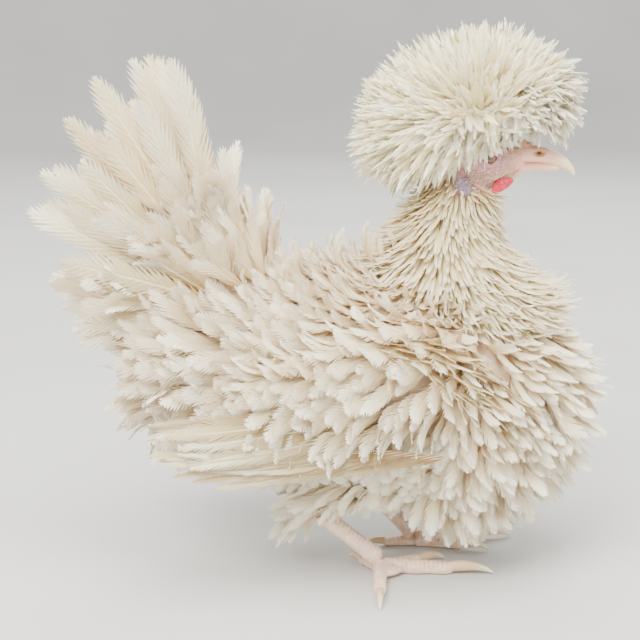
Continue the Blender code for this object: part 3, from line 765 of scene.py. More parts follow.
def feather_template(rows: int, columns: int) -> Array:
    """Triangles of one closed vane: a top and a bottom grid that share their edges, closed at both ends.

    Args:
        rows: How many rows of points the grids have.
        columns: How many points a row has on each side, with the one on the shaft.
    Returns:
        The triangles.
    """
    wide = 2 * columns - 1
    top = np.arange(rows * wide).reshape(rows, wide)
    bottom = top.copy()
    bottom[:, 1:-1] = rows * wide + np.arange(rows * (wide - 2)).reshape(rows, wide - 2)

    def quads(a: Array, b: Array, c: Array, d: Array) -> Array:
        """Two triangles for each square."""
        return np.concatenate([np.stack(three, -1).reshape(-1, 3) for three in ((a, b, c), (a, c, d))])

    faces = [quads(top[:-1, :-1], top[:-1, 1:], top[1:, 1:], top[1:, :-1]),
             quads(bottom[:-1, :-1], bottom[1:, :-1], bottom[1:, 1:], bottom[:-1, 1:]),
             quads(top[0, :-1], bottom[0, :-1], bottom[0, 1:], top[0, 1:]),
             quads(top[-1, :-1], top[-1, 1:], bottom[-1, 1:], bottom[-1, :-1])]
    faces = np.concatenate(faces)
    flat = (faces[:, 0] == faces[:, 1]) | (faces[:, 1] == faces[:, 2]) | (faces[:, 0] == faces[:, 2])
    return faces[~flat]


def turned(first: Array, second: Array, angle: Array) -> Array:
    """The directions cos(angle) * first + sin(angle) * second."""
    return np.cos(angle)[..., None] * first + np.sin(angle)[..., None] * second


def grow(form: FeatherForm, flock: Flock, draw: Draws) -> Shape:
    """All feathers of a flock as one shape.

    The shaft turns from lift to curl as lift + (curl - lift) * share^bend, and its points are the running sum
    of its directions. Each row of barbs leaves the shaft at its start and runs ahead and out to its end on
    the outline. Every other barb ends short, and a few end near the shaft, so that the edge frays and the
    vane splits.

    Args:
        form: The outline.
        flock: Where the feathers are.
        draw: The source of their differences.
    Returns:
        The shape, with along, across, barb and tint at each point.
    """
    count = len(flock.root)
    share = np.linspace(0, 1, SHAFT_STATIONS)
    angle = flock.lift[:, None] + (flock.curl - flock.lift)[:, None] * share**form.bend
    cross = np.cross(flock.normal, flock.lie)
    level = turned(flock.lie[:, None], cross[:, None], flock.sway[:, None] * share)
    ahead = turned(level, flock.normal[:, None], angle)
    face = turned(flock.normal[:, None], -level, angle)
    across = np.cross(face, ahead)
    roll = flock.turn[:, None] * (0.3 + 0.7 * share)
    across, face = turned(across, face, roll), turned(face, -across, roll)
    step = (flock.length / (SHAFT_STATIONS - 1))[:, None, None] * ahead
    travelled = np.cumsum(np.concatenate([np.zeros((count, 1, 3)), step[:, 1:]], axis=1), axis=1)
    shaft = flock.root[:, None] + travelled

    rows, wide = 2 * form.clumps + 1, 2 * form.columns - 1
    start, end_share = form.barbs()
    side = np.sign(np.linspace(-1, 1, wide))
    reach = np.abs(np.linspace(-1, 1, wide))
    short = (np.arange(rows) % 2 == 1)[None, :, None]
    split = draw.uniform(size=(count, rows, 2)) < form.splits
    pulled = np.where(split, draw.uniform(*form.TORN, split.shape),
                      form.notch * draw.uniform(*form.FRAYED, split.shape))
    depth = np.where(short, 1 - pulled, draw.uniform(*form.WHOLE, split.shape))
    depth = np.where(side > 0, depth[:, :, 1:2], depth[:, :, 0:1])
    extent = reach * depth
    where = start[None, :, None] + (end_share - start)[None, :, None] * extent * (0.75 + 0.25 * extent)
    half_width = (flock.width / 2)[:, None, None]
    sideways = form.half_width(end_share)[None, :, None] * half_width * extent * side
    phase = draw.uniform(0, math.tau, (count, 1, 1)) + 2.0 * side
    wave = form.ruffle * np.sin(17 * where + phase)
    fallen = (wave - form.cup) * half_width * extent**2

    slot = np.clip(where, 0, 1) * (SHAFT_STATIONS - 1)
    low = np.minimum(slot.astype(int), SHAFT_STATIONS - 2)
    part = (slot - low)[..., None]
    pick = np.arange(count)[:, None, None]

    def read(track: Array) -> Array:
        """What the shaft's stations hold, read where each point's barb is."""
        return track[pick, low] * (1 - part) + track[pick, low + 1] * part

    middle, out, rise = read(shaft), read(across), read(face)
    surface = middle + out * sideways[..., None] + rise * fallen[..., None]
    thick = form.thickness * (1 - 0.75 * reach)[None, None, :, None] * (1 - 0.6 * where[..., None])
    inner = slice(1, wide - 1)
    top = surface.copy()
    top[:, :, inner] += 0.5 * (rise * thick)[:, :, inner]
    bottom = (surface - 0.5 * rise * thick)[:, :, inner]
    points = np.concatenate([top.reshape(count, -1, 3), bottom.reshape(count, -1, 3)], axis=1)

    def spread(values: Array) -> Array:
        """A value of the top grid, given to the bottom grid too."""
        values = np.broadcast_to(values, (count, rows, wide))
        under = values[:, :, inner].reshape(count, -1)
        return np.concatenate([values.reshape(count, -1), under], axis=1).ravel()

    template = feather_template(rows, form.columns)
    triangles = (template[None] + (np.arange(count) * points.shape[1])[:, None, None]).reshape(-1, 3)
    half_patch = 0.45 * BAKE_PATCH
    patch = np.stack([spread(flock.patch[:, 0][:, None, None] + half_patch * extent * side),
                      spread(flock.patch[:, 1][:, None, None] + half_patch * (2 * where - 1))], axis=1)
    values = {"along": spread(where), "across": spread(extent * side), "barb": spread(start[None, :, None]),
              "tint": spread(flock.tint[:, None, None])}
    return Shape(points.reshape(-1, 3), triangles, values, np.clip(patch, 0, 1))


def coat_piece(name: str, flocks: list[tuple[FeatherForm, Flock]], finish: Material, node: str,
               draw: Draws, slot: str = "plumage") -> None:
    """Makes one piece of the coat.

    Args:
        name: The piece's name.
        flocks: Its kinds of feather.
        finish: Their material.
        node: The node that the piece stands for.
        draw: The source of differences.
        slot: The record's slot.
    """
    shapes = [grow(form, flock, draw) for form, flock in flocks if len(flock.root)]
    present(Shape.united(shapes).object(name, finish, SHARP_DEGREES), slot, node)


def bell(distance: Array, width: float, power: int = 2) -> Array:
    """The bell exp(-(distance / width)^power), which is 1 at distance 0."""
    return np.exp(-(distance / width)**power)


def blended(points: Array, centres: Array, vectors: Array, power: float = 3.0) -> Array:
    """A field between given places: the mean of their vectors, weighed by 1 / distance^power.

    Args:
        points: Where it is read.
        centres: The given places.
        vectors: The vector at each of them.
        power: How fast their pull falls off.
    Returns:
        The vector at each point.
    """
    away = np.linalg.norm(points[:, None, :] - centres[None], axis=2) + 1e-4
    weight = 1 / away**power
    return (weight @ vectors) / weight.sum(axis=1, keepdims=True)


BODY_FORM = FeatherForm(clumps=9, base=0.45, widest=0.62, blunt=2.0, sweep=0.34, notch=0.34, splits=0.3,
                        cup=0.14, ruffle=0.05)
SOFT_FORM = FeatherForm(clumps=10, base=0.45, widest=0.66, blunt=2.2, sweep=0.34, notch=0.38, splits=0.28,
                        cup=0.12, ruffle=0.09)
HACKLE_FORM = FeatherForm(clumps=3, columns=2, base=0.55, widest=0.42, blunt=1.5, sweep=0.24, notch=0.2,
                          cup=0.2)
CAPE_FORM = FeatherForm(clumps=7, columns=2, base=0.5, widest=0.5, blunt=1.8, sweep=0.34, notch=0.3,
                        splits=0.2, cup=0.1, ruffle=0.1)
CREST_FORM = FeatherForm(clumps=4, columns=2, base=0.5, widest=0.45, blunt=1.4, sweep=0.28, notch=0.26,
                         splits=0.14, cup=0.25, ruffle=0.08)
VISOR_FORM = FeatherForm(clumps=9, columns=2, base=0.5, widest=0.5, blunt=1.9, sweep=0.34, notch=0.5,
                         splits=0.35, ruffle=0.2)
FLIGHT_FORM = FeatherForm(clumps=24, columns=3, base=0.4, widest=0.6, blunt=1.8, sweep=0.17, notch=0.3,
                          splits=0.45, bend=1.3, cup=0.12, ruffle=0.06)
TAIL_FORM = FeatherForm(clumps=20, columns=5, base=0.22, widest=0.74, blunt=2.3, sweep=0.19, notch=0.42,
                        splits=0.62, cup=0.1, ruffle=0.1)
BRISTLE_FORM = FeatherForm(clumps=1, columns=2, base=0.8, widest=0.2, blunt=1.2, notch=0.05, splits=0.0,
                           ruffle=0.0, thickness=0.0003)


@dataclass
class BodyForms:
    """The hen's body under her feathers, as lofts."""

    rear: float = -0.128
    front: float = 0.112
    skin_depth: float = 0.0012
    voxel: float = 0.0014

    def __post_init__(self) -> None:
        """Makes the lofts from their named sizes."""
        girths = ((0.121, 0.036, 0.038, 0.036), (0.117, 0.049, 0.05, 0.047), (0.113, 0.062, 0.06, 0.059),
                  (0.112, 0.072, 0.066, 0.067), (0.112, 0.072, 0.064, 0.068), (0.112, 0.064, 0.056, 0.062),
                  (0.113, 0.052, 0.046, 0.05))
        step = (self.front - self.rear) / (len(girths) - 1)
        torso = [(self.rear + i * step, 0.0, *girth) for i, girth in enumerate(girths)]
        self.torso = Loft(torso, (0.33, 0.33))
        x, z = 0.036, 0.15
        self.neck = Loft(((x, 0, z, 0.04, 0.046, 0.05), (x - 0.002, 0, z + 0.025, 0.033, 0.036, 0.04),
                          (x, 0, z + 0.047, 0.024, 0.026, 0.029),
                          (x + 0.005, 0, z + 0.066, 0.019, 0.02, 0.022),
                          (x + 0.01, 0, z + 0.084, 0.016, 0.016, 0.017)), (0.1, 0.15))
        x, z = 0.05, 0.24
        self.head = Loft(((x - 0.032, 0, z, 0.01, 0.012, 0.01),
                          (x - 0.016, 0, z + 0.001, 0.0145, 0.02, 0.016),
                          (x, 0, z, 0.0155, 0.02, 0.0175), (x + 0.012, 0, z - 0.0015, 0.0135, 0.014, 0.015),
                          (x + 0.022, 0, z - 0.0025, 0.0095, 0.0095, 0.0095),
                          (x + 0.03, 0, z - 0.0022, 0.0066, 0.007, 0.0058)), (0.25, 0.12))
        x, z = -0.088, 0.158
        self.tail = Loft(((x + 0.03, 0, z - 0.012, 0.022, 0.024, 0.022),
                          (x + 0.003, 0, z + 0.006, 0.021, 0.024, 0.024),
                          (x - 0.017, 0, z + 0.025, 0.013, 0.02, 0.02),
                          (x - 0.028, 0, z + 0.037, 0.006, 0.012, 0.012)), (0.2, 0.3), (0, -1, 0))
        self.wings = {side: self._wing(side) for side in Side}
        self.thighs = {Side.RIGHT: self._thigh(Side.RIGHT, (-0.042, -0.024, 0.0405)),
                       Side.LEFT: self._thigh(Side.LEFT, (-0.018, 0.027, 0.044))}

    @staticmethod
    def _wing(side: Side) -> Loft:
        """The folded wing of a side."""
        rows = ((0.052, 0.05, 0.142, 0.01, 0.02, 0.02), (0.025, 0.066, 0.134, 0.011, 0.026, 0.026),
                (-0.01, 0.072, 0.124, 0.01, 0.027, 0.027), (-0.045, 0.069, 0.115, 0.009, 0.022, 0.022),
                (-0.075, 0.061, 0.109, 0.008, 0.014, 0.014))
        return Loft([(x, side.value * y, *rest) for x, y, *rest in rows], (0.3, 0.25), (0, -1, 0))

    @staticmethod
    def _thigh(side: Side, hock: Triple) -> Loft:
        """The thigh above a hock."""
        x, y, z = hock
        out = side.value
        return Loft(((x + 0.037, y + 0.014 * out, z + 0.045, 0.019, 0.021, 0.021),
                     (x + 0.02, y + 0.01 * out, z + 0.022, 0.015, 0.017, 0.017),
                     (x + 0.002, y + 0.001 * out, z + 0.003, 0.0075, 0.0085, 0.0085)), (0.2, 0.25))


@dataclass(frozen=True)
class Face:
    """Sizes of the head's bare parts."""

    eye: Triple = (0.0575, 0.0085, 0.242)
    eye_radius: float = 0.0062
    gape: tuple[float, float] = (0.0745, 0.2335)
    mouth_back: tuple[float, float] = (0.0615, 0.2272)
    lid_radius: float = 0.0058
    lid_height: float = 0.0011

    def sculpt(self, points: Array, normals: Array) -> tuple[Array, dict[str, Array]]:
        """Raises the lids and brow, and sinks the mouth line and wrinkles.

        Each ridge or groove is height * exp(-(distance / width)^2) along the normal.

        Args:
            points: The skin's points.
            normals: Their normals.
        Returns:
            The moved points, and how bare each is, how much painted shade its fold gets and how near the
            mouth.
        """
        x, z = points[:, 0] - CENTRE_SHIFT, points[:, 2]
        away = np.hypot(x - self.eye[0], (z - self.eye[2]) * 1.12)
        on_side = smooth(0.004, 0.009, np.abs(points[:, 1]))
        lids = self.lid_height * bell(away - self.lid_radius, 0.0011)
        outer = 0.45 * self.lid_height * bell(away - 1.55 * self.lid_radius, 0.001)
        socket = -0.003 * bell(away, 0.72 * self.lid_radius, 4)
        a, b = np.array(self.gape), np.array(self.mouth_back)
        way = b - a
        share = np.clip(((x - a[0]) * way[0] + (z - a[1]) * way[1]) / (way @ way), 0, 1)
        line = np.hypot(x - a[0] - share * way[0], z - a[1] - share * way[1])
        mouth = -0.0012 * bell(line, 0.0007) + 0.0006 * bell(line - 0.0018, 0.0009)
        folds = 0.00018 * np.sin(1500 * (z + 0.35 * x)) * smooth(0.02, 0.008, away)
        bare = smooth(0.032, 0.044, x) * smooth(0.213, 0.222, z) * smooth(0.268, 0.256, z)
        raised = (lids + outer + socket + mouth + folds) * on_side * bare
        # Painted shade in the folds: along the mouth line and in a ring round the lids.
        crease_shade = np.clip(bell(line, 0.0011) + 0.8 * bell(away - 1.25 * self.lid_radius, 0.0006), 0, 1)
        near_bill = smooth(0.067, 0.076, x) * smooth(0.226, 0.231, z)
        values = {"bare": bare, "crease_shade": crease_shade * bare * on_side,
                  "mouth": np.maximum(bell(line, 0.003) * on_side, near_bill)}
        return points + normals * raised[:, None], values


def skin_material() -> Material:
    """Tan down under the feathers, darker than them as painted shade, and thin mauve pink skin with fine
    pores where it is bare, with painted shade in its folds.
    """
    graph = Graph("skin_finish", 0.62)
    bare = graph.attribute("bare")
    crease_shade = graph.attribute("crease_shade")
    mottle = graph.noise(420.0, 4.0)
    face = graph.mix(mottle.step(0.35, 0.68), "B98088", "E0B0AC")
    face = graph.mix(graph.attribute("mouth") * 0.85, face, "F0B8A2")
    # Painted shade: the folds round the eye and the mouth line are darkened.
    face = graph.mix(crease_shade * 0.75, face, "7A4B45")
    # The down under the feathers is tan, darker than them, as painted shade beneath the feathers.
    down = graph.mix(graph.noise(90.0).step(0.35, 0.7), "9C8468", "C6B192")
    graph.colour(graph.mix(bare, down, face))
    graph.bump(graph.cells(900.0) * bare + mottle, 0.4, 0.0004)
    return graph.material


def make_skin(forms: BodyForms, face: Face) -> None:
    """Makes one skin over the torso, neck, head, wings, thighs and tail root.

    Args:
        forms: The lofts of the body.
        face: The sizes of the bare parts.
    """
    depth = -forms.skin_depth
    shapes = [forms.torso.shape(40, 48, depth), forms.neck.shape(30, 40, depth),
              forms.head.shape(40, 48, -0.0002), forms.tail.shape(20, 28, depth)]
    shapes += [loft.shape(24, 28, depth) for loft in (*forms.wings.values(), *forms.thighs.values())]
    skin = remeshed("skin", shapes, forms.voxel, 4)
    points, normals = read_vectors(skin.data.vertices, "co"), read_vectors(skin.data.vertex_normals, "vector")
    moved, values = face.sculpt(points, normals)
    reworked(skin, moved, values, skin_material())
    present(skin, "face", "head", "neck", "torso")


@dataclass
class Plumage:
    """The body feathers on the torso. Each of LIES is a place (x, z) and the way that feathers lie there."""

    forms: BodyForms
    draw: Draws
    pitch: float = 0.0065
    length: float = 0.026
    width: float = 0.0102
    split_x: float = -0.005
    tuft_size: int = 5

    LIES = (((0.105, 0.1), (0.25, -1.0)), ((0.088, 0.152), (0.5, -1.0)),
            ((0.06, 0.055), (-0.05, -1.0)), ((-0.01, 0.05), (-0.4, -1.0)),
            ((0.01, 0.1), (-0.75, -0.7)), ((0.045, 0.15), (0.1, -1.0)),
            ((-0.03, 0.178), (-1.0, 0.1)), ((-0.088, 0.16), (-0.95, 0.2)),
            ((-0.1, 0.12), (-1.0, -0.2)), ((-0.09, 0.075), (-1.0, -0.3)),
            ((-0.055, 0.045), (-1.0, -0.55)), ((0.07, 0.11), (0.1, -1.0)))
    TUFTS = (((-0.071, 0.01, 0.17), 0.04, 0.008), ((-0.028, -0.004, 0.178), 0.024, 0.004),
             ((0.002, -0.012, 0.18), 0.028, 0.0042))

    def lie(self, bed: Bed) -> Array:
        """The lie of the coat, from a few places seen from the side."""
        seen = np.stack([bed.x, bed.z], axis=1)
        flow = blended(seen, *np.swapaxes(self.LIES, 0, 1))
        flow += self.draw.normal(0, 0.22, flow.shape)
        return np.stack([flow[:, 0], bed.about(0.12), flow[:, 1]], axis=1)

    def flock(self) -> tuple[Flock, Array]:
        """Broad curled feathers all over the torso, and which of them are soft."""
        bed = self.forms.torso.bed(0.004, 0.99, self.pitch, 0.001, self.draw)
        hidden = self.forms.neck.holds(bed.points) | self.forms.tail.holds(bed.points)
        for wing in self.forms.wings.values():
            hidden |= wing.holds(bed.points)
        x, z = bed.x, bed.z
        rear, low, breast = smooth(-0.04, -0.11, x), smooth(0.095, 0.055, z), smooth(0.05, 0.095, x)
        rump = smooth(-0.07, -0.11, x) * smooth(0.12, 0.145, z)
        near_neck = smooth(0.085, 0.045, np.hypot(x - 0.036, z - 0.16))
        under_wing = smooth(-0.12, -0.1, x) * smooth(0.05, 0.03, x) * smooth(0.048, 0.058, z)
        under_wing *= smooth(0.112, 0.1, z) * smooth(0.045, 0.055, np.abs(bed.points[:, 1]))
        over_leg = low * smooth(0.04, 0.018, x)
        lie = self.lie(bed)
        length = self.length + 0.012 * rear * (1 - low) + 0.005 * low * (1 - rear)
        length = (length + 0.004 * breast + 0.012 * rump) * (1 - 0.5 * under_wing) * (1 - 0.3 * over_leg)
        width = (self.width + 0.003 * rear + 0.001 * low) * (1 - 0.4 * near_neck)
        lift = 0.85 * bed.leaning(lie) * (1 - 0.85 * over_leg) + bed.degrees(3, 16)
        curl = np.radians(70 - 24 * low - 38 * breast * (1 - low) - 16 * rear) * (1 - 0.8 * under_wing)
        curl = curl * (1 - 0.55 * over_leg)
        flock = bed.flock(lie, length * bed.between(0.68, 1.18), width * bed.between(0.75, 1.25), lift,
                          lift + curl * bed.between(0.5, 1.4), bed.about(0.26), bed.about(0.36),
                          0.7 * bed.between())
        soft = np.maximum(np.maximum(rear, low), 0.45) > bed.between(0.2, 0.9)
        return flock.chosen(~hidden), soft[~hidden]

    def build(self, finish: Material) -> None:
        """Makes the torso's coat in four pieces, by quarter."""
        flock, soft = self.flock()
        right, front = flock.root[:, 1] < 0, flock.root[:, 0] >= CENTRE_SHIFT + self.split_x
        for word, side in (("right", right), ("left", ~right)):
            for part, mask in (("front", front), ("rear", ~front)):
                kinds = [(BODY_FORM, flock.chosen(side & mask & ~soft)),
                         (SOFT_FORM, flock.chosen(side & mask & soft))]
                coat_piece(f"body_coat_{part}_{word}", kinds, finish, "torso", self.draw)

    def strays(self, finish: Material) -> None:
        """Makes the tufts of long feathers that stand up and curl over along the back."""
        spots, lengths, widths = (np.repeat(part, self.tuft_size, axis=0) for part in zip(*self.TUFTS))
        count = len(spots)
        root = spots + self.draw.normal(0, 0.005, (count, 3)) * (1, 1, 0) + (CENTRE_SHIFT, 0, 0)
        normals = np.tile((0.0, 0.0, 1.0), (count, 1))
        bed = Bed(self.draw, root, normals, np.linspace(0.2, 0.8, count), math.pi / 2)
        flock = bed.flock(bed.ways((-0.6, 0.0, 0.0), 0.5), lengths * bed.between(0.7, 1.1),
                          widths * bed.between(0.8, 1.2), bed.degrees(50, 80), bed.degrees(70, 165),
                          bed.about(0.4), math.pi / 2 + bed.about(0.6), 0.1)
        coat_piece("back_strays", [(SOFT_FORM, flock)], finish, "torso", self.draw)


@dataclass
class Hackle:
    """The narrow feathers of the neck, in rows that flow down and curl out, the nape's and the cape."""

    forms: BodyForms
    draw: Draws
    pitch: float = 0.0027
    nape_pitch: float = 0.0026
    cape_pitch: float = 0.005
    cape_reach: float = 0.01

    CAPE = ((-0.03, 0.162), (0.034, 0.15), (0.078, 0.094))

    def neck_flock(self) -> Flock:
        """Feathers all round the neck, longer and broader towards its base."""
        bed = self.forms.neck.bed(0.05, 0.99, self.pitch, 0.001, self.draw)
        hidden = self.forms.torso.holds(bed.points, -0.002) | self.forms.head.holds(bed.points)
        down = 1 - bed.along
        lie = bed.ways((0.0, 0.0, -1.0) + 0.35 * bed.normals * (1, 0.4, 0), 0.1)
        length = 0.012 + 0.024 * smooth(0, 0.8, down)
        width = 0.0017 + 0.0024 * down
        flock = bed.flock(lie, length * bed.between(0.85, 1.15), width * bed.between(0.85, 1.15),
                          bed.degrees(8, 20), bed.degrees(40, 88), bed.about(0.18), bed.about(0.3),
                          0.8 * bed.between())
        return flock.chosen(~hidden)

    def nape_flock(self) -> Flock:
        """Short feathers on the back of the head and under the cheeks."""
        bed = self.forms.head.bed(0.02, 0.8, self.nape_pitch, 0.0005, self.draw)
        x, z = bed.x, bed.z
        behind = (x < 0.036) | ((x < 0.064) & (z < 0.229 - 0.25 * (x - 0.036)))
        short = 0.5 + 0.5 * smooth(0.06, 0.03, x)
        flock = bed.flock(bed.ways((-0.25, 0.0, -1.0), 0.2), 0.013 * short * bed.between(0.8, 1.2),
                          0.0026 * bed.between(0.8, 1.2), bed.degrees(15, 35), bed.degrees(20, 65),
                          bed.about(0.3), bed.about(0.3), 0.2)
        return flock.chosen(behind & ~self.forms.neck.holds(bed.points))

    def cape_flocks(self) -> list[Flock]:
        """Feathers that stand edge on in an arc over each shoulder and flow down and forward along it.

        The arc is the curve first * (1 - t)^2 + 2 * middle * t(1 - t) + last * t^2 seen from the side.
        """
        t = np.linspace(0, 1, 40)[:, None]
        first, middle, last = (np.array(point) for point in self.CAPE)
        arc = first * (1 - t)**2 + 2 * middle * t * (1 - t) + last * t**2
        ways = unit(np.gradient(arc, axis=0))
        lofts = [self.forms.torso, self.forms.neck, *self.forms.wings.values()]
        flocks = []
        for loft in lofts:
            bed = loft.bed(0.02, 0.98, self.cape_pitch, 0.0, self.draw)
            seen = np.stack([bed.x, bed.z], axis=1)
            away = np.linalg.norm(seen[:, None] - arc[None], axis=2)
            keep = (away.min(axis=1) < self.cape_reach) & (np.abs(bed.points[:, 1]) > 0.02)
            keep &= bed.normals[:, 2] < 0.7
            for other in lofts:
                if other is not loft:
                    keep &= ~other.holds(bed.points)
            lie = bed.ways(np.insert(ways[away.argmin(axis=1)], 1, 0.0, axis=1), 0.16)
            lift = bed.degrees(12, 30) * (1 - 0.6 * np.clip(bed.normals[:, 2], 0, 1))
            roll = bed.degrees(70, 112) * np.sign(bed.points[:, 1])
            # A higher tint than elsewhere warms these feathers: painted shade for the brownish gaps between
            # them over the shoulder.
            flock = bed.flock(lie, bed.between(0.02, 0.031), bed.between(0.0045, 0.007), lift,
                              lift + bed.degrees(-5, 30), bed.about(0.2), roll, bed.between(0.3, 1.1))
            flocks.append(flock.chosen(keep))
        return flocks

    def build(self, finish: Material) -> None:
        """Makes the hackle and the cape as a piece each."""
        kinds = [(HACKLE_FORM, self.neck_flock()), (HACKLE_FORM, self.nape_flock())]
        coat_piece("hackle", kinds, finish, "neck", self.draw)
        cape = [(CAPE_FORM, flock) for flock in self.cape_flocks()]
        coat_piece("shoulder_cape", cape, finish, "torso", self.draw)


@dataclass
class Crest:
    """The round crest of narrow feathers that part above the face, with a soft fringe and a visor."""

    draw: Draws
    centre: Triple = (0.044, 0.0, 0.267)
    radii: Triple = (0.042, 0.035, 0.026)
    underside: float = 0.8
    slope: float = 0.2
    parting: Triple = (0.052, 0.028, 0.252)
    count: int = 3900
    fringe_count: int = 640
    visor_count: int = 330
    core: float = 0.9
    length: float = 0.0232
    width: float = 0.004

    def on_mass(self, out: Array, layer: Array) -> tuple[Array, Array]:
        """Places and normals on the crest's ellipsoid, sheared up towards the front.

        Args:
            out: Directions from its middle.
            layer: The share of the radius.
        Returns:
            The places, and the directions outwards there.
        """
        radii = np.array(self.radii) * np.where(out[:, 2:] > 0, (1, 1, 1), (1, 1, self.underside))
        offset = out * radii * layer[:, None]
        offset[:, 2] += self.slope * offset[:, 0]
        normals = out / radii
        normals[:, 0] -= self.slope * normals[:, 2]
        return place(*self.centre) + offset, unit(normals)

    def bed(self, turn: Array, rise: Array, layer: Array) -> tuple[Bed, Array]:
        """Roots on the crest's mass.

        Args:
            turn: Each root's angle from straight ahead.
            rise: Its height on a ball of radius 1.
            layer: Its share of the radius.
        Returns:
            The roots, and their directions from the middle.
        """
        level = np.sqrt(1 - rise**2)
        out = np.stack([level * np.cos(turn), level * np.sin(turn), rise], axis=1)
        return Bed(self.draw, *self.on_mass(out, layer), (rise + 1) / 2, turn), out

    def main_flock(self) -> Flock:
        """Feathers all over the crest, away from the parting of their side, at steps of the golden angle."""
        index = np.arange(self.count)
        rise = 1 - 1.82 * (index + 0.5) / self.count
        bed, out = self.bed(index * GOLDEN_ANGLE, rise, self.draw.uniform(0.84, 1.0, self.count))
        x, y, z = self.parting
        away = bed.points - (place(x, 0, z) + np.outer(np.where(out[:, 1] < 0, -y, y), (0, 1, 0)))
        near = bell(np.linalg.norm(away, axis=1), 0.018)
        nape = smooth(0.1, -0.5, out[:, 2]) * smooth(0.3, -0.4, out[:, 0])
        lie = bed.ways(away + (0, 0, -0.008), 0.005) - np.outer(nape, (0, 0, 0.022))
        lift = 0.72 * bed.leaning(lie) + bed.degrees(6, 30) * (1 - 0.5 * near)
        flock = bed.flock(lie, self.length * bed.between(0.7, 1.2) * (1 - 0.2 * near + 0.3 * nape),
                          self.width * bed.between(0.6, 1.4), lift, lift + bed.degrees(-22, 26),
                          bed.about(0.18), bed.about(0.5), bed.between())
        over_face = (out[:, 0] > 0.3) & (out[:, 2] < -0.45)
        return flock.chosen(~over_face)

    def hanging(self, count: int, spread: float, rises: tuple[float, float]) -> Bed:
        """Random places on the crest's front.

        Args:
            count: How many.
            spread: The most degrees from straight ahead.
            rises: The lowest and highest share of the radius.
        Returns:
            The roots there.
        """
        turn = np.radians(self.draw.uniform(-spread, spread, count))
        return self.bed(turn, self.draw.uniform(*rises, count), np.full(count, 0.98))[0]

    def fringe_flock(self) -> Flock:
        """Soft frayed feathers that hang over the parting and the eye."""
        bed = self.hanging(self.fringe_count, 128, (-0.8, 0.28))
        lie = bed.ways((0.12, 0.0, -0.9), 0.42)
        lie[:, 0] -= 0.5 * smooth(0.045, 0.02, bed.x)
        lift = bed.degrees(0, 20)
        return bed.flock(lie, bed.between(0.013, 0.024), bed.between(0.0038, 0.0072), lift,
                         lift + bed.degrees(-15, 45), bed.about(0.35), bed.about(0.6), 0.6 * bed.between())

    def visor_flock(self) -> Flock:
        """Long soft feathers that arch forward from the brow and droop over the root of the bill."""
        bed = self.hanging(self.visor_count, 52, (-0.28, 0.38))
        ahead = smooth(48, 12, np.degrees(np.abs(bed.angle)))
        lie = bed.ways((0.0, 0.0, -1.0), 0.2)
        lift = bed.degrees(62, 92)
        length = (0.014 + 0.016 * ahead) * bed.between(0.7, 1.08)
        return bed.flock(lie, length, bed.between(0.0034, 0.0062), lift, bed.degrees(12, 66),
                         bed.about(0.25), bed.about(0.6), 0.6 * bed.between())

    def down(self) -> Shape:
        """The packed down inside the crest, as a closed mass."""
        sphere = ellipsoid(np.zeros(3), (1.0, 1.0, 1.0), 0, 30, 44)
        count = len(sphere.points)
        sphere.points, _ = self.on_mass(sphere.points, np.full(count, self.core))
        for key, level in (("along", 0.75), ("across", 0.5), ("barb", 0.0), ("tint", 0.4)):
            sphere.values[key] = np.full(count, level)
        return sphere

    def build(self, finish: Material, fringe_shaded_finish: Material) -> None:
        """Makes the crest in four pieces.

        Args:
            finish: The material of the crest.
            fringe_shaded_finish: That of its fringe and visor.
        """
        flock = self.main_flock()
        right = flock.root[:, 1] < 0
        present(self.down().object("crest_down", finish), "crest", "crest")
        for word, mask in (("right", right), ("left", ~right)):
            kinds = [(CREST_FORM, flock.chosen(mask))]
            coat_piece(f"crest_coat_{word}", kinds, finish, "crest", self.draw, "crest")
        # The fringe and visor take the darker copy of the crest's colours, painted shade under the crest.
        kinds = [(VISOR_FORM, self.fringe_flock()), (VISOR_FORM, self.visor_flock())]
        coat_piece("crest_fringe", kinds, fringe_shaded_finish, "crest", self.draw, "crest")


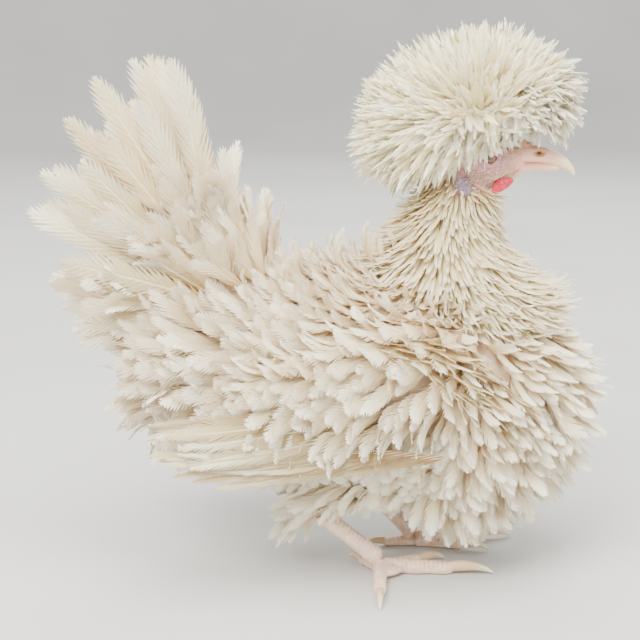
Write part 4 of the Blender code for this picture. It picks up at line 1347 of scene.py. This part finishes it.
@dataclass
class Wing:
    """A folded wing: long flight feathers in two tiers and curled coverts over them.

    Each of TIERS has its first and last root, its first and last tip, how many feathers it has, their width
    and how far out it stands.
    """

    forms: BodyForms
    side: Side
    draw: Draws
    pitch: float = 0.0068
    length: float = 0.0275
    width: float = 0.0106

    TIERS = (((0.038, 0.077, 0.088), (-0.03, 0.073, 0.096), (-0.098, 0.076, 0.066), (-0.13, 0.066, 0.08),
              14, 0.009, 0.001),
             ((0.004, 0.077, 0.104), (-0.058, 0.07, 0.11), (-0.106, 0.076, 0.077), (-0.13, 0.062, 0.098),
              12, 0.0115, 0.003))

    def flights(self) -> Flock:
        """The flight feathers, spaced evenly between the ends of each tier."""
        mirror = np.array((1, self.side.value, 1))
        roots, lies, widths = [], [], []
        for first, last, first_tip, last_tip, count, width, out in self.TIERS:
            share = np.linspace(0, 1, count)[:, None]
            root, tip = ((np.array(a) * (1 - share) + np.array(b) * share) * mirror + (CENTRE_SHIFT, 0, 0)
                         for a, b in ((first, last), (first_tip, last_tip)))
            root[:, 1] += self.side.value * (out + 0.007 * share[:, 0])
            roots.append(root)
            lies.append(tip - root)
            widths.append(np.full(count, width))
        root, lie = np.concatenate(roots), np.concatenate(lies)
        bed = Bed.in_line(self.draw, root, np.tile((0.0, self.side.value, 0.0), (len(root), 1)))
        return bed.flock(lie, np.linalg.norm(lie, axis=1) * bed.between(0.93, 1.03), np.concatenate(widths),
                         0.0, bed.degrees(1, 14), 0.16 * self.side.value + bed.about(0.07), bed.about(0.38),
                         bed.between(0.45, 1.1))

    def coverts(self) -> Flock:
        """Curled feathers all over the wing's outer face."""
        bed = self.forms.wings[self.side].bed(0.01, 0.97, self.pitch, 0.0005, self.draw)
        lie = bed.ways((-1.0, 0.0, -0.35), 0.16)
        lie[:, 2] -= 0.6 * smooth(0.01, 0.05, bed.x)
        lift = 0.8 * bed.leaning(lie) + bed.degrees(4, 16)
        flock = bed.flock(lie, self.length * bed.between(0.82, 1.2), self.width * bed.between(0.82, 1.18),
                          lift, lift + bed.degrees(35, 80), bed.about(0.25), bed.about(0.28),
                          0.75 * bed.between())
        return flock.chosen(bed.normals[:, 1] * self.side.value > -0.3)

    def build(self, finish: Material, flight_finish: Material) -> None:
        """Makes the coverts and the flight feathers as two pieces.

        Args:
            finish: The material of the coverts.
            flight_finish: That of the flight feathers.
        """
        word = self.side.word
        node = f"wing_{word}"
        coat_piece(f"wing_coverts_{word}", [(BODY_FORM, self.coverts())], finish, node, self.draw)
        coat_piece(f"wing_flights_{word}", [(FLIGHT_FORM, self.flights())], flight_finish, node, self.draw)


@dataclass
class Tail:
    """The fan of tail feathers with split barbs, and soft coverts round its root.

    Each of FAN is a feather's angle from straight ahead, in degrees, and its length.
    """

    forms: BodyForms
    draw: Draws
    root: Triple = (-0.088, 0.0, 0.158)
    filler_count: int = 110
    pitch: float = 0.006
    width: float = 0.0205
    covert_width: float = 0.0115
    left_turn: float = 2.5

    FAN = ((101, 0.145), (109, 0.149), (119, 0.15), (129, 0.14), (141, 0.13), (154, 0.124), (170, 0.1))

    def fan(self) -> Flock:
        """Seven long feathers a side, with a shorter one between each two, whose two layers lean apart."""
        x, _, z = self.root
        rises, lengths = np.array(self.FAN).T
        index = np.arange(float(len(rises)))
        shorter = 0.86 * (lengths[:-1] + lengths[1:]) / 2
        rises = np.concatenate([rises, (rises[:-1] + rises[1:]) / 2])
        lengths = np.concatenate([lengths, shorter])
        step = np.concatenate([index, index[:-1] + 0.5])
        outer = np.where(step % 1 > 0, 0.004, 0.0)
        roots, lies, normals = [], [], []
        for side in Side:
            turn = np.radians(rises + (self.left_turn if side is Side.LEFT else 0.0))
            away = side.value * (0.0045 + 0.0036 * step)
            lie = np.stack([lengths * np.cos(turn), away, lengths * np.sin(turn)], axis=1)
            start = place(x, 0.0, z) + np.outer(side.value * (0.0025 + 0.0022 * step + outer), (0, 1, 0))
            roots.append(start + 0.1 * lie)
            lies.append(0.9 * lie)
            normals.append(np.tile((0.0, side.value, 0.0), (len(lie), 1)))
        lie = np.concatenate(lies)
        bed = Bed.in_line(self.draw, np.concatenate(roots), np.concatenate(normals))
        return bed.flock(lie, np.linalg.norm(lie, axis=1), self.width * bed.between(0.85, 1.12), 0.0,
                         bed.degrees(4, 26), bed.about(0.07), bed.about(0.22), bed.between(0.0, 0.9))

    def coverts(self) -> Flock:
        """Soft feathers round the root of the fan, of many lengths."""
        bed = self.forms.tail.bed(0.01, 0.99, self.pitch, 0.001, self.draw)
        lie = bed.ways(unit(bed.points - place(-0.05, 0.0, 0.125)) * (1, 0.4, 1), 0.14)
        lift = 0.35 * bed.leaning(lie) + bed.degrees(3, 16)
        flock = bed.flock(lie, bed.between(0.024, 0.054), self.covert_width * bed.between(0.75, 1.2), lift,
                          lift + bed.degrees(5, 62), bed.about(0.28), bed.about(0.35), 0.8 * bed.between())
        return flock.chosen(~self.forms.torso.holds(bed.points))

    def filler(self) -> Flock:
        """Soft feathers between the fan's two layers and under them."""
        draw, count = self.draw, self.filler_count
        x, _, z = self.root
        rise = np.radians(draw.uniform(92, 196, count))
        side = np.sign(draw.uniform(-1, 1, count))
        aside = 0.012 * side * draw.uniform(size=count)
        root = place(x, 0, z) + np.stack([0.022 * np.cos(rise), aside, 0.02 * np.sin(rise)], axis=1)
        bed = Bed(draw, root, np.outer(side, (0, 1, 0)), rise / math.tau, 0.6)
        lie = np.stack([np.cos(rise), 0.18 * side, np.sin(rise)], axis=1)
        return bed.flock(lie, bed.between(0.04, 0.085), bed.between(0.011, 0.017), 0.0, bed.degrees(0, 85),
                         bed.about(0.16), bed.about(0.6), 0.8 * bed.between())

    def build(self, finish: Material, flight_finish: Material) -> None:
        """Makes the fan and its coverts."""
        coat_piece("tail_fan", [(TAIL_FORM, self.fan())], flight_finish, "tail", self.draw)
        kinds = [(SOFT_FORM, self.coverts()), (SOFT_FORM, self.filler())]
        coat_piece("tail_coverts", kinds, finish, "tail", self.draw)


@dataclass
class ThighFluff:
    """Hanging feathers on a thigh."""

    forms: BodyForms
    side: Side
    draw: Draws
    pitch: float = 0.005
    width: float = 0.0085

    def build(self, finish: Material) -> None:
        """Makes one thigh's feathers as a piece."""
        bed = self.forms.thighs[self.side].bed(0.1, 0.96, self.pitch, 0.0005, self.draw)
        lie = bed.ways((-1.1, 0.0, -0.75), 0.16)
        behind = smooth(0.3, -0.6, bed.normals[:, 0])
        length = (0.018 + 0.032 * behind) * (1 - 0.3 * bed.along) * bed.between(0.85, 1.15)
        lift = bed.degrees(2, 14)
        flock = bed.flock(lie, length, self.width * bed.between(0.8, 1.2), lift, lift + bed.degrees(0, 38),
                          bed.about(0.2), bed.about(0.6), 0.1)
        kinds = [(SOFT_FORM, flock.chosen(~self.forms.torso.holds(bed.points)))]
        coat_piece(f"thigh_coat_{self.side.word}", kinds, finish, f"thigh_{self.side.word}", self.draw)


@dataclass
class Bristles:
    """The fine bristles of the bare cheeks and throat."""

    forms: BodyForms
    face: Face
    draw: Draws
    pitch: float = 0.0018
    eye_gap: float = 0.0078

    def build(self, finish: Material) -> None:
        """Makes them as one piece."""
        bed = self.forms.head.bed(0.35, 0.97, self.pitch, 0.0, self.draw)
        x, z = bed.x, bed.z
        keep = (x > 0.04) & (x < 0.0745) & (z < 0.25)
        keep &= np.hypot(x - self.face.eye[0], z - self.face.eye[2]) > self.eye_gap
        throat = smooth(0.226, 0.219, z)
        lie = bed.ways((-1.0, 0.0, -0.5), 0.3) + throat[:, None] * (1.0, 0, -0.6)
        length = (0.0026 + 0.005 * throat) * bed.between(0.7, 1.3)
        flock = bed.flock(lie, length, 0.0006 + 0.0009 * throat, bed.degrees(15, 50), bed.degrees(10, 50),
                          bed.about(0.3), 0.0, 0.0)
        coat_piece("face_bristles", [(BRISTLE_FORM, flock.chosen(keep))], finish, "head", self.draw)


@dataclass
class Toe:
    """One toe: its heading in degrees from +X, its length and radius, and the length of its claw."""

    heading: float
    length: float
    radius: float
    claw: float

    @property
    def way(self) -> Array:
        """The toe's direction on the floor."""
        turn = math.radians(self.heading)
        return np.array((math.cos(turn), math.sin(turn), 0.0))


@dataclass
class Leg:
    """A scaled shank, four toes and their claws.

    Each row of PADS is a share of a toe's length and the thickness there as a share of its radius. CLAW adds
    the height of the middle between the two. WEB has the distance from the foot, the height, the half width
    and the half thickness. SHANK has a share of the shank's length and the radius there.
    """

    side: Side
    hock: Triple
    foot: Triple
    toes: dict[str, Toe]
    shank_radius: float = 0.0047
    scute_pitch: float = 0.0026
    scute_height: float = 0.0004
    voxel: float = 0.00055

    PADS = ((0.0, 1.15), (0.16, 1.12), (0.32, 0.94), (0.48, 1.06), (0.64, 0.86), (0.8, 1.0), (1.0, 0.78))
    CLAW = ((-0.25, 0.95, 0.66), (0.1, 1.18, 0.74), (0.45, 1.15, 0.58), (0.78, 0.75, 0.34), (1.0, 0.16, 0.1))
    WEB = ((0.0, 0.005, 0.007, 0.004), (0.007, 0.004, 0.008, 0.0028), (0.014, 0.003, 0.009, 0.0018))
    SHANK = ((0.0, 0.0066), (0.2, 0.0056), (0.45, 0.0049), (0.7, 0.0048), (0.88, 0.0054), (1.0, 0.0062))

    def toe_loft(self, toe: Toe) -> Loft:
        """The toe's body, with pads between its joints, flat on the floor."""
        rows = []
        for share, thick in self.PADS:
            x, y, _ = np.array(self.foot) + toe.way * toe.length * share
            r = toe.radius * thick
            rows.append((x, y, 0.72 * toe.radius, 0.82 * r, toe.radius * (1.05 - 0.42 * share), r))
        hint = (-toe.way[1], toe.way[0], 0.0)
        return Loft(rows, (0.08, 0.1), hint, 0.0)

    def web_loft(self) -> Loft:
        """The thin skin between the roots of the middle and outer toes."""
        way = unit(self.toes["middle"].way + self.toes["outer"].way)
        foot = np.array(self.foot)
        rows = [(*(foot + way * reach)[:2], height, side, thick, thick)
                for reach, height, side, thick in self.WEB]
        return Loft(rows, (0.2, 0.2), (-way[1], way[0], 0.0), 0.0)

    def shank_loft(self) -> Loft:
        """The shank from above the hock to the foot's ball."""
        start = np.array(self.hock) - unit(np.array(self.foot) - np.array(self.hock)) * 0.01
        rows = [(*(start + (np.array(self.foot) - start) * share), 0.9 * r, r, r) for share, r in self.SHANK]
        return Loft(rows, (0.12, 0.14), (0, 1, 0), 0.0)

    def scutes(self, points: Array, normals: Array) -> tuple[Array, Array]:
        """Overlapping plates down the front of the shank and along the toes' tops.

        Each point belongs to the nearest axis. Its share of a plate is the fraction of its distance along the
        axis over the pitch, and the plate stands up by height * (1 - fraction), with a groove at its end.

        Args:
            points: The leg's points.
            normals: Their normals.
        Returns:
            The moved points, and how deep in a groove each is.
        """
        foot = place(*self.foot)
        hock = place(*self.hock)
        axes = [(hock, foot, np.array((0.62, 0.0, 0.78)), self.shank_radius)]
        for toe in self.toes.values():
            axes.append((foot, foot + toe.way * toe.length, np.array((0.0, 0.0, 1.0)), toe.radius))
        level, travel, facing = [], [], []
        for start, end, front, radius in axes:
            way = end - start
            share = np.clip((points - start) @ way / (way @ way), 0, 1)
            level.append(np.linalg.norm(points - start - share[:, None] * way, axis=1) / radius)
            travel.append(share * np.linalg.norm(way))
            facing.append(normals @ front)
        nearest = np.argmin(level, axis=0)
        pick = np.arange(len(points))
        travel = np.array(travel)[nearest, pick]
        facing = np.array(facing)[nearest, pick]
        fraction = (travel / self.scute_pitch) % 1.0
        plate = smooth(0.05, 0.45, facing)
        edge = bell(np.minimum(fraction, 1 - fraction), 0.09)
        raised = self.scute_height * (1 - fraction) * plate - 0.35 * self.scute_height * edge * plate
        moved = points + normals * raised[:, None]
        moved[:, 2] = np.maximum(moved[:, 2], 0.0)
        return moved, edge * plate

    def build(self, finish: Material, claw_finish: Material) -> None:
        """Makes the leg's skin and its four claws.

        Args:
            finish: The material of the skin.
            claw_finish: That of the claws.
        """
        word = self.side.word
        shapes = [self.shank_loft().shape(40, 24), self.web_loft().shape(24, 20)]
        shapes += [self.toe_loft(toe).shape(40, 22) for toe in self.toes.values()]
        leg = remeshed(f"leg_{word}", shapes, self.voxel, 5)
        moved, groove = self.scutes(read_vectors(leg.data.vertices, "co"),
                                    read_vectors(leg.data.vertex_normals, "vector"))
        reworked(leg, moved, {"groove": groove}, finish)
        present(leg, "leg", f"shank_{word}", *(f"toe_{toe}_{word}" for toe in self.toes))
        for name, toe in self.toes.items():
            claw = self.claw_loft(toe).shape(36, 20)
            base = place(*self.foot) + toe.way * toe.length
            claw.values["along"] = np.clip((claw.points - base) @ toe.way / toe.claw, 0, 1)
            present(claw.object(f"horn_{name}_{word}", claw_finish), "claw", f"claw_{name}_{word}")

    def claw_loft(self, toe: Toe) -> Loft:
        """A curved claw that comes down to the floor at its tip."""
        rows = []
        for share, height, thick in self.CLAW:
            x, y, _ = np.array(self.foot) + toe.way * (toe.length + toe.claw * share)
            rows.append((x, y, 0.8 * toe.radius * height, 0.72 * toe.radius * thick, 0.9 * toe.radius * thick,
                         0.9 * toe.radius * thick))
        return Loft(rows, (0.1, 0.08), (-toe.way[1], toe.way[0], 0.0), 0.0)


def leg_material() -> Material:
    """Pale pink scaled skin, mauve between the plates."""
    graph = Graph("leg_finish", 0.48)
    groove = graph.attribute("groove")
    mottle = graph.noise(260.0, 4.0)
    skin = graph.mix(mottle.step(0.35, 0.7), "EFCBB0", "FBE6C6")
    skin = graph.mix(graph.noise(70.0, 2.0).step(0.48, 0.66) * 0.65, skin, "DCBAC0")
    skin = graph.mix(groove * 0.5, skin, "A67C72")
    grains = graph.cells(780.0)
    skin = graph.mix((1 - grains.step(0.0, 0.1)) * 0.22, skin, "A8736A")
    graph.colour(skin)
    graph.bump(grains.step(0.0, 0.16) + mottle * 0.4, 0.4, 0.0003)
    return graph.material


def claw_material() -> Material:
    """Satin horn that changes colour towards its tip, with fine growth lines."""
    graph = Graph("claw_finish", 0.34, Coat_Weight=0.15)
    along = graph.attribute("along")
    streaks = graph.noise(240.0, 4.0, (0.35, 1.0, 1.0))
    colour = graph.mix(along.step(0.35, 0.95), "D9BE95", "E9DFC0")
    graph.colour(graph.mix(streaks.step(0.45, 0.75) * 0.3, colour, "C79A84"))
    graph.bump(streaks, 0.15, 0.0003)
    return graph.material


@dataclass
class Bill:
    """The hooked upper bill with its nostrils, and the lower bill."""

    root: Triple = (0.076, 0.0, 0.2375)
    tip: Triple = (0.1078, 0.0, 0.23)
    nostril: tuple[float, float] = (0.0866, 0.2432)

    def upper_loft(self) -> Loft:
        """The upper bill's loft."""
        x, y, z = self.root
        tip_x, _, tip_z = self.tip
        return Loft(((x - 0.004, y, z + 0.003, 0.0066, 0.0062, 0.0036),
                     (x + 0.007, y, z + 0.0036, 0.006, 0.0062, 0.0038),
                     (x + 0.016, y, z + 0.0026, 0.005, 0.0052, 0.0036),
                     (x + 0.0235, y, z + 0.0002, 0.0038, 0.004, 0.0032),
                     (tip_x - 0.003, y, tip_z + 0.004, 0.0022, 0.0024, 0.0022),
                     (tip_x, y, tip_z, 0.0007, 0.0008, 0.0007)), (0.1, 0.08))

    def lower_loft(self) -> Loft:
        """The lower bill's loft."""
        x, y, z = self.root
        return Loft(((x - 0.004, y, z - 0.003, 0.006, 0.003, 0.0034),
                     (x + 0.007, y, z - 0.0026, 0.0051, 0.003, 0.0029),
                     (x + 0.016, y, z - 0.0028, 0.0039, 0.0026, 0.0022),
                     (x + 0.0235, y, z - 0.0032, 0.002, 0.0016, 0.0012)), (0.1, 0.15))

    def build(self) -> None:
        """Makes both halves. The nostril is a pit with a raised flap above it."""
        upper = self.upper_loft().shape(90, 64)
        x, z = upper.points[:, 0] - CENTRE_SHIFT, upper.points[:, 2]
        side = smooth(0.0015, 0.0045, np.abs(upper.points[:, 1]))
        away = np.hypot((x - self.nostril[0]) / 0.003, (z - self.nostril[1]) / 0.0017)
        flap = np.hypot((x - self.nostril[0]) / 0.004, (z - self.nostril[1] - 0.002) / 0.0013)
        inward = np.sign(upper.points[:, 1]) * side * (0.0016 * bell(away, 1.0, 4) - 0.0007 * bell(flap, 1.0))
        upper.points[:, 1] -= inward
        upper.values["along"] = np.clip((x - self.root[0]) / (self.tip[0] - self.root[0]), 0, 1)
        upper.values["nostril"] = side * bell(away, 1.25)
        material = self.material()
        present(upper.object("upper_bill", material), "bill", "bill_upper")
        lower = self.lower_loft().shape(60, 48)
        lower.values["along"] = np.clip((lower.points[:, 0] - CENTRE_SHIFT - self.root[0]) / 0.03, 0, 1)
        lower.values["nostril"] = np.zeros(len(lower.points))
        present(lower.object("lower_bill", material), "bill", "bill_lower")

    @staticmethod
    def material() -> Material:
        """Pale pink horn, ivory at the hook and golden brown round the nostrils, whose middles are painted
        dark as the shade inside them.
        """
        graph = Graph("bill_finish", 0.36, Coat_Weight=0.12)
        along = graph.attribute("along")
        streaks = graph.noise(200.0, 4.0, (0.3, 1.0, 1.0))
        colour = graph.mix(along.step(0.45, 0.98), "F3C4AC", "EFDDB2")
        colour = graph.mix(streaks.step(0.42, 0.72) * 0.4, colour, "DE9F8A")
        nostril = graph.attribute("nostril")
        colour = graph.mix(nostril.step(0.15, 0.6) * 0.9, colour, "C08A45")
        # Painted shade: the nostril's middle is dark, for the shade inside the opening.
        graph.colour(graph.mix(nostril.step(0.7, 0.95), colour, "4A2C18"))
        graph.bump(streaks, 0.15, 0.0003)
        return graph.material


def ellipsoid(centre: Array, radii: Triple, lean: float, rings: int, sides: int) -> Shape:
    """A closed ellipsoid with poles on Y: centre + radii * (sin v cos u, cos v, sin v sin u), leant about Y.

    Args:
        centre: Its middle.
        radii: Its radii along X, Y and Z before it leans.
        lean: How far it leans from +X up towards +Z, in degrees.
        rings: How many parts v is cut into.
        sides: How many parts u is cut into.
    Returns:
        The mesh.
    """
    v = np.linspace(0, math.pi, rings + 1)[1:-1]
    u = np.arange(sides) / sides * math.tau
    body = np.stack([np.outer(np.sin(v), np.cos(u)), np.outer(np.cos(v), np.ones(sides)),
                     np.outer(np.sin(v), np.sin(u))], axis=-1).reshape(-1, 3)
    local = np.concatenate([body, [(0, 1, 0), (0, -1, 0)]]) * radii
    turn = math.radians(lean)
    x = local[:, 0] * math.cos(turn) - local[:, 2] * math.sin(turn)
    z = local[:, 0] * math.sin(turn) + local[:, 2] * math.cos(turn)
    return Shape.closed(np.stack([x, local[:, 1], z], axis=1) + centre, sides)


@dataclass
class FaceTrim:
    """Eyes, lobes, wattles and the small comb. Each spot is the left one's, mirrored for the right."""

    face: Face
    lobe_spot: Triple = (0.043, 0.0185, 0.2255)
    lobe_radii: Triple = (0.0046, 0.003, 0.006)
    lobe_lean: float = 20
    wattle_spot: Triple = (0.0655, 0.0105, 0.2262)
    wattle_radii: Triple = (0.007, 0.0022, 0.0033)
    wattle_lean: float = 32
    wattle_taper: float = 28
    comb_root: Triple = (0.079, 0.0, 0.2475)
    comb_voxel: float = 0.00035

    @staticmethod
    def beside(spot: Triple, side: Side) -> Array:
        """A spot, on the given side of the hen."""
        return place(spot[0], side.value * spot[1], spot[2])

    def wrinkled(self, shape: Shape, centre: Array, height: float, waves: float) -> Shape:
        """The shape with soft folds: its points move out by height * sin(waves * angle) * sin(waves * 160 z).

        Args:
            shape: The shape, which is changed.
            centre: Its middle.
            height: How high the folds are.
            waves: How many go round.
        Returns:
            The same shape.
        """
        away = shape.points - centre
        angle = np.arctan2(away[:, 2], away[:, 0])
        ripple = height * np.sin(waves * angle) * np.sin(waves * 160 * away[:, 2])
        shape.points += unit(away) * ripple[:, None]
        return shape

    def eye(self, side: Side) -> Shape:
        """An eyeball, where each point holds its distance from the middle as a share of the radius."""
        x, _, z = self.face.eye
        eye = ellipsoid(self.beside(self.face.eye, side), (self.face.eye_radius,) * 3, 0, 40, 56)
        radius = np.hypot(eye.points[:, 0] - CENTRE_SHIFT - x, eye.points[:, 2] - z)
        eye.values["radius"] = radius / self.face.eye_radius
        return eye

    def lobe(self, side: Side) -> Shape:
        """An ear lobe with soft folds."""
        centre = self.beside(self.lobe_spot, side)
        return self.wrinkled(ellipsoid(centre, self.lobe_radii, self.lobe_lean, 40, 56), centre, 0.0005, 5)

    def wattle(self, side: Side) -> Shape:
        """A small wattle, flatter towards its front."""
        centre = self.beside(self.wattle_spot, side)
        wattle = ellipsoid(centre, self.wattle_radii, self.wattle_lean, 40, 56)
        lean = math.radians(self.wattle_lean)
        along = (wattle.points - centre) @ np.array((math.cos(lean), 0, math.sin(lean)))
        wattle.points[:, 2] = centre[2] + (wattle.points[:, 2] - centre[2]) * (1 - self.wattle_taper * along)
        return self.wrinkled(wattle, centre, 0.0002, 4)

    def comb(self) -> bpy.types.Object:
        """The comb: two short points that grow out of one low base."""
        x, y, z = self.comb_root
        shapes = [ellipsoid(place(x, y, z), (0.004, 0.0042, 0.0024), 0, 24, 32)]
        for side in Side:
            spot = place(x - 0.001, side.value * 0.003, z + 0.0018)
            shapes.append(ellipsoid(spot, (0.0015, 0.0014, 0.003), 15, 20, 24))
        return remeshed("comb_horns", shapes, self.comb_voxel, 3)

    def build(self) -> None:
        """Makes all of them, each in place of its node."""
        eye_finish = self.eye_material()
        red = self.fleshy("red_finish", "E23A52", "B81E36")
        grey = self.fleshy("lobe_finish", "8F7C89", "6E5C69")
        for side in Side:
            word = side.word
            present(self.eye(side).object(f"eyeball_{word}", eye_finish), "eye", f"eye_{word}")
            present(self.lobe(side).object(f"ear_lobe_{word}", grey), "lobe", f"lobe_{word}")
            present(self.wattle(side).object(f"wattle_fold_{word}", red), "red_skin", f"wattle_{word}")
        comb = self.comb()
        comb.data.materials.append(self.fleshy("comb_finish", "E2A48E", "C47F6C"))
        present(comb, "red_skin", "comb")

    @staticmethod
    def eye_material() -> Material:
        """A dark pupil in an orange brown iris, wet and glossy."""
        graph = Graph("eye_finish", 0.08, Coat_Weight=1.0)
        radius = graph.attribute("radius")
        fibres = graph.noise(900.0, 2.0)
        iris = graph.mix(fibres.step(0.3, 0.7), "5A3216", "8E5426")
        iris = graph.mix(radius.step(0.55, 0.72), iris, "2A1A14")
        graph.colour(graph.mix(1 - radius.step(0.3, 0.35), iris, "050404"))
        return graph.material

    @staticmethod
    def fleshy(name: str, light: str, dark: str) -> Material:
        """Soft bare skin with small bumps.

        Args:
            name: The material's name.
            light, dark: The codes of its two colours.
        Returns:
            The material.
        """
        graph = Graph(name, 0.45, Coat_Weight=0.1)
        grains = graph.noise(700.0, 3.0)
        graph.colour(graph.mix(grains.step(0.35, 0.65), dark, light))
        graph.bump(graph.cells(900.0).step(0.0, 0.2), 0.35, 0.0003)
        return graph.material


@dataclass(frozen=True)
class Studio:
    """The camera at the photo's angle, a pale bowl of a backdrop and soft light."""

    target: Triple = (0.0, 0.0, 0.146)
    distance: float = 0.9
    elevation: float = 12.0
    lens: float = 87.3
    floor_radius: float = 2.4
    bend_radius: float = 1.0
    wall_height: float = 3.0
    sides: int = 96
    sky: tuple[float, float, float, float] = (0.93, 0.92, 0.9, 1.0)
    sky_strength: float = 1.35

    LAMPS = (("key", (-0.7, -1.5, 1.6), 1.1, 100.0, (1.0, 0.98, 0.94)),
             ("fill", (1.6, -1.2, 0.9), 1.4, 30.0, (1.0, 0.98, 0.96)),
             ("top", (0.2, -0.4, 1.15), 0.7, 21.0, (1.0, 0.99, 0.95)),
             ("rear", (-1.7, 0.2, 1.2), 1.2, 22.0, (1.0, 0.99, 0.97)),
             ("back", (0.3, 1.6, 1.5), 1.2, 40.0, (1.0, 0.99, 0.97)))

    def camera(self) -> None:
        """Adds the camera, which looks at the target from the hen's right side and a little above."""
        rise = math.radians(self.elevation)
        data = bpy.data.cameras.new("camera")
        data.lens = self.lens
        data.sensor_width = 36.0
        data.clip_start = 0.01
        camera = bpy.data.objects.new("camera", data)
        back = Vector((0.0, -math.cos(rise), math.sin(rise)))
        camera.location = Vector(self.target) + self.distance * back
        camera.rotation_euler = (-back).to_track_quat("-Z", "Y").to_euler()
        bpy.context.scene.collection.objects.link(camera)
        bpy.context.scene.camera = camera

    def build(self) -> None:
        """Makes the camera, the backdrop, the lamps and the sky."""
        self.camera()
        self.backdrop()
        for lamp in self.LAMPS:
            self.lamp(*lamp)
        world = bpy.data.worlds.new("studio")
        world.use_nodes = True
        background = world.node_tree.nodes["Background"]
        background.inputs["Color"].default_value = self.sky
        background.inputs["Strength"].default_value = self.sky_strength
        bpy.context.scene.world = world

    def lamp(self, name: str, spot: Triple, size: float, power: float,
             colour: Triple) -> None:
        """Adds a square area light that points at the hen.

        Args:
            name: The lamp's name.
            spot: Where it stands.
            size: The length of its side.
            power: Its watts.
            colour: The colour of its light.
        """
        data = bpy.data.lights.new(name, "AREA")
        data.size = size
        data.energy = power
        data.color = colour
        made = bpy.data.objects.new(name, data)
        made.location = spot
        made.rotation_euler = (Vector(self.target) - Vector(spot)).to_track_quat("-Z", "Y").to_euler()
        bpy.context.scene.collection.objects.link(made)

    def backdrop(self) -> None:
        """A plain pale floor that bends up into a wall all round: a profile of r and z turned about Z."""
        bend = np.linspace(0, math.pi / 2, 13)
        r = np.concatenate([[0.3, 1.2], self.floor_radius + self.bend_radius * np.sin(bend),
                            [self.floor_radius + self.bend_radius]])
        z = np.concatenate([[0.0, 0.0], self.bend_radius * (1 - np.cos(bend)), [self.wall_height]])
        sides = self.sides
        turn = np.arange(sides) / sides * math.tau
        ring = np.stack([np.outer(r, np.cos(turn)), np.outer(r, np.sin(turn)), np.outer(z, np.ones(sides))],
                        axis=-1)
        points = np.concatenate([ring.reshape(-1, 3), [(0, 0, 0)]]) - (0, 0, 0.0004)
        triangles = np.concatenate([band(len(r), sides)[:, ::-1], cap(len(points) - 1, 0, sides)])
        graph = Graph("backdrop_finish", 0.85)
        graph.colour(graph.mix(graph.noise(3.0).step(0.3, 0.7), "BEBEBC", "C5C5C3"))
        Shape(points, triangles).object("backdrop", graph.material)


# Each finish's first colour, at the feather's root, is darkened as painted shade between overlapping
# feathers.
BODY_FINISH = FeatherFinish("body_feathers", "C9A275", "F3DEB8", "FFF4DC", "F8E8C4", "EBCB98")
HACKLE_FINISH = FeatherFinish("hackle_feathers", "C49B62", "F6DEAC", "FFF2CE", "F6E4BC", "DBB473")
CREST_FINISH = FeatherFinish("crest_feathers", "F2DDA2", "FFEFC2", "FFFADF", "FFF1C8", "F8DC94", 8.0, 30.0)
# The fringe and visor: a darker, greyer copy of the crest's colours, as painted shade under the crest's
# overhang.
FRINGE_SHADED_FINISH = FeatherFinish("fringe_feathers_painted_shade", "B39B76", "DFCFAE", "F7EFDA", "F0E4C8", "CBB286", 8.0, 30.0)
# The wing's flights: darker than the flight finish towards the root, as painted shade for the folded flights
# that lie edge on under the coverts.
WING_SHADED_FINISH = FeatherFinish("wing_feathers", "80613A", "CFB589", "EEE0C2", "F8EBCB", "C6A067", 30.0, 90.0)
FLIGHT_FINISH = FeatherFinish("flight_feathers", "B0905C", "DFCCA4", "EEE2C6", "FBEFCB", "D6AF70", 20.0, 80.0)


def legs() -> list[Leg]:
    """The near leg of the photo, with its outer toe towards the viewer, and the far one a little ahead."""
    stances = ((Side.RIGHT, (-0.042, -0.024, 0.0405), (-0.002, -0.022, 0.0075),
                ((-3, 0.044, 0.005, 0.0225), (-92, 0.042, 0.0045, 0.017), (28, 0.03, 0.0043, 0.015),
                 (126, 0.019, 0.0036, 0.011))),
               (Side.LEFT, (-0.018, 0.027, 0.044), (0.021, 0.024, 0.0075),
                ((14, 0.043, 0.005, 0.02), (62, 0.04, 0.0045, 0.0165), (-14, 0.031, 0.0043, 0.015),
                 (-176, 0.02, 0.0036, 0.011))))
    names = ("middle", "outer", "inner", "hind")
    return [Leg(side, hock, foot, {name: Toe(*sizes) for name, sizes in zip(names, toes)})
            for side, hock, foot, toes in stances]


def main() -> None:
    """Builds the hen and the studio in order."""
    logging.basicConfig(level=logging.INFO, format="%(message)s")
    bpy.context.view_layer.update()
    draw = np.random.default_rng(7)
    forms = BodyForms()
    face = Face()
    body_finish, flight_finish = BODY_FINISH.material(), FLIGHT_FINISH.material()
    fringe_shaded_finish, wing_shaded_finish = FRINGE_SHADED_FINISH.material(), WING_SHADED_FINISH.material()
    make_skin(forms, face)
    plumage = Plumage(forms, draw)
    plumage.build(body_finish)
    plumage.strays(body_finish)
    Hackle(forms, draw).build(HACKLE_FINISH.material())
    crest_finish = CREST_FINISH.material()
    Bristles(forms, face, draw).build(crest_finish)
    Crest(draw).build(crest_finish, fringe_shaded_finish)
    Tail(forms, draw).build(body_finish, flight_finish)
    for side in Side:
        # The wing's flights take the darker finish, painted shade for where they lie folded.
        Wing(forms, side, draw).build(body_finish, wing_shaded_finish)
        ThighFluff(forms, side, draw).build(body_finish)
    Bill().build()
    FaceTrim(face).build()
    leg_finish = leg_material()
    claw_finish = claw_material()
    for leg in legs():
        leg.build(leg_finish, claw_finish)
    Studio().build()


if __name__ == "__main__":
    main()
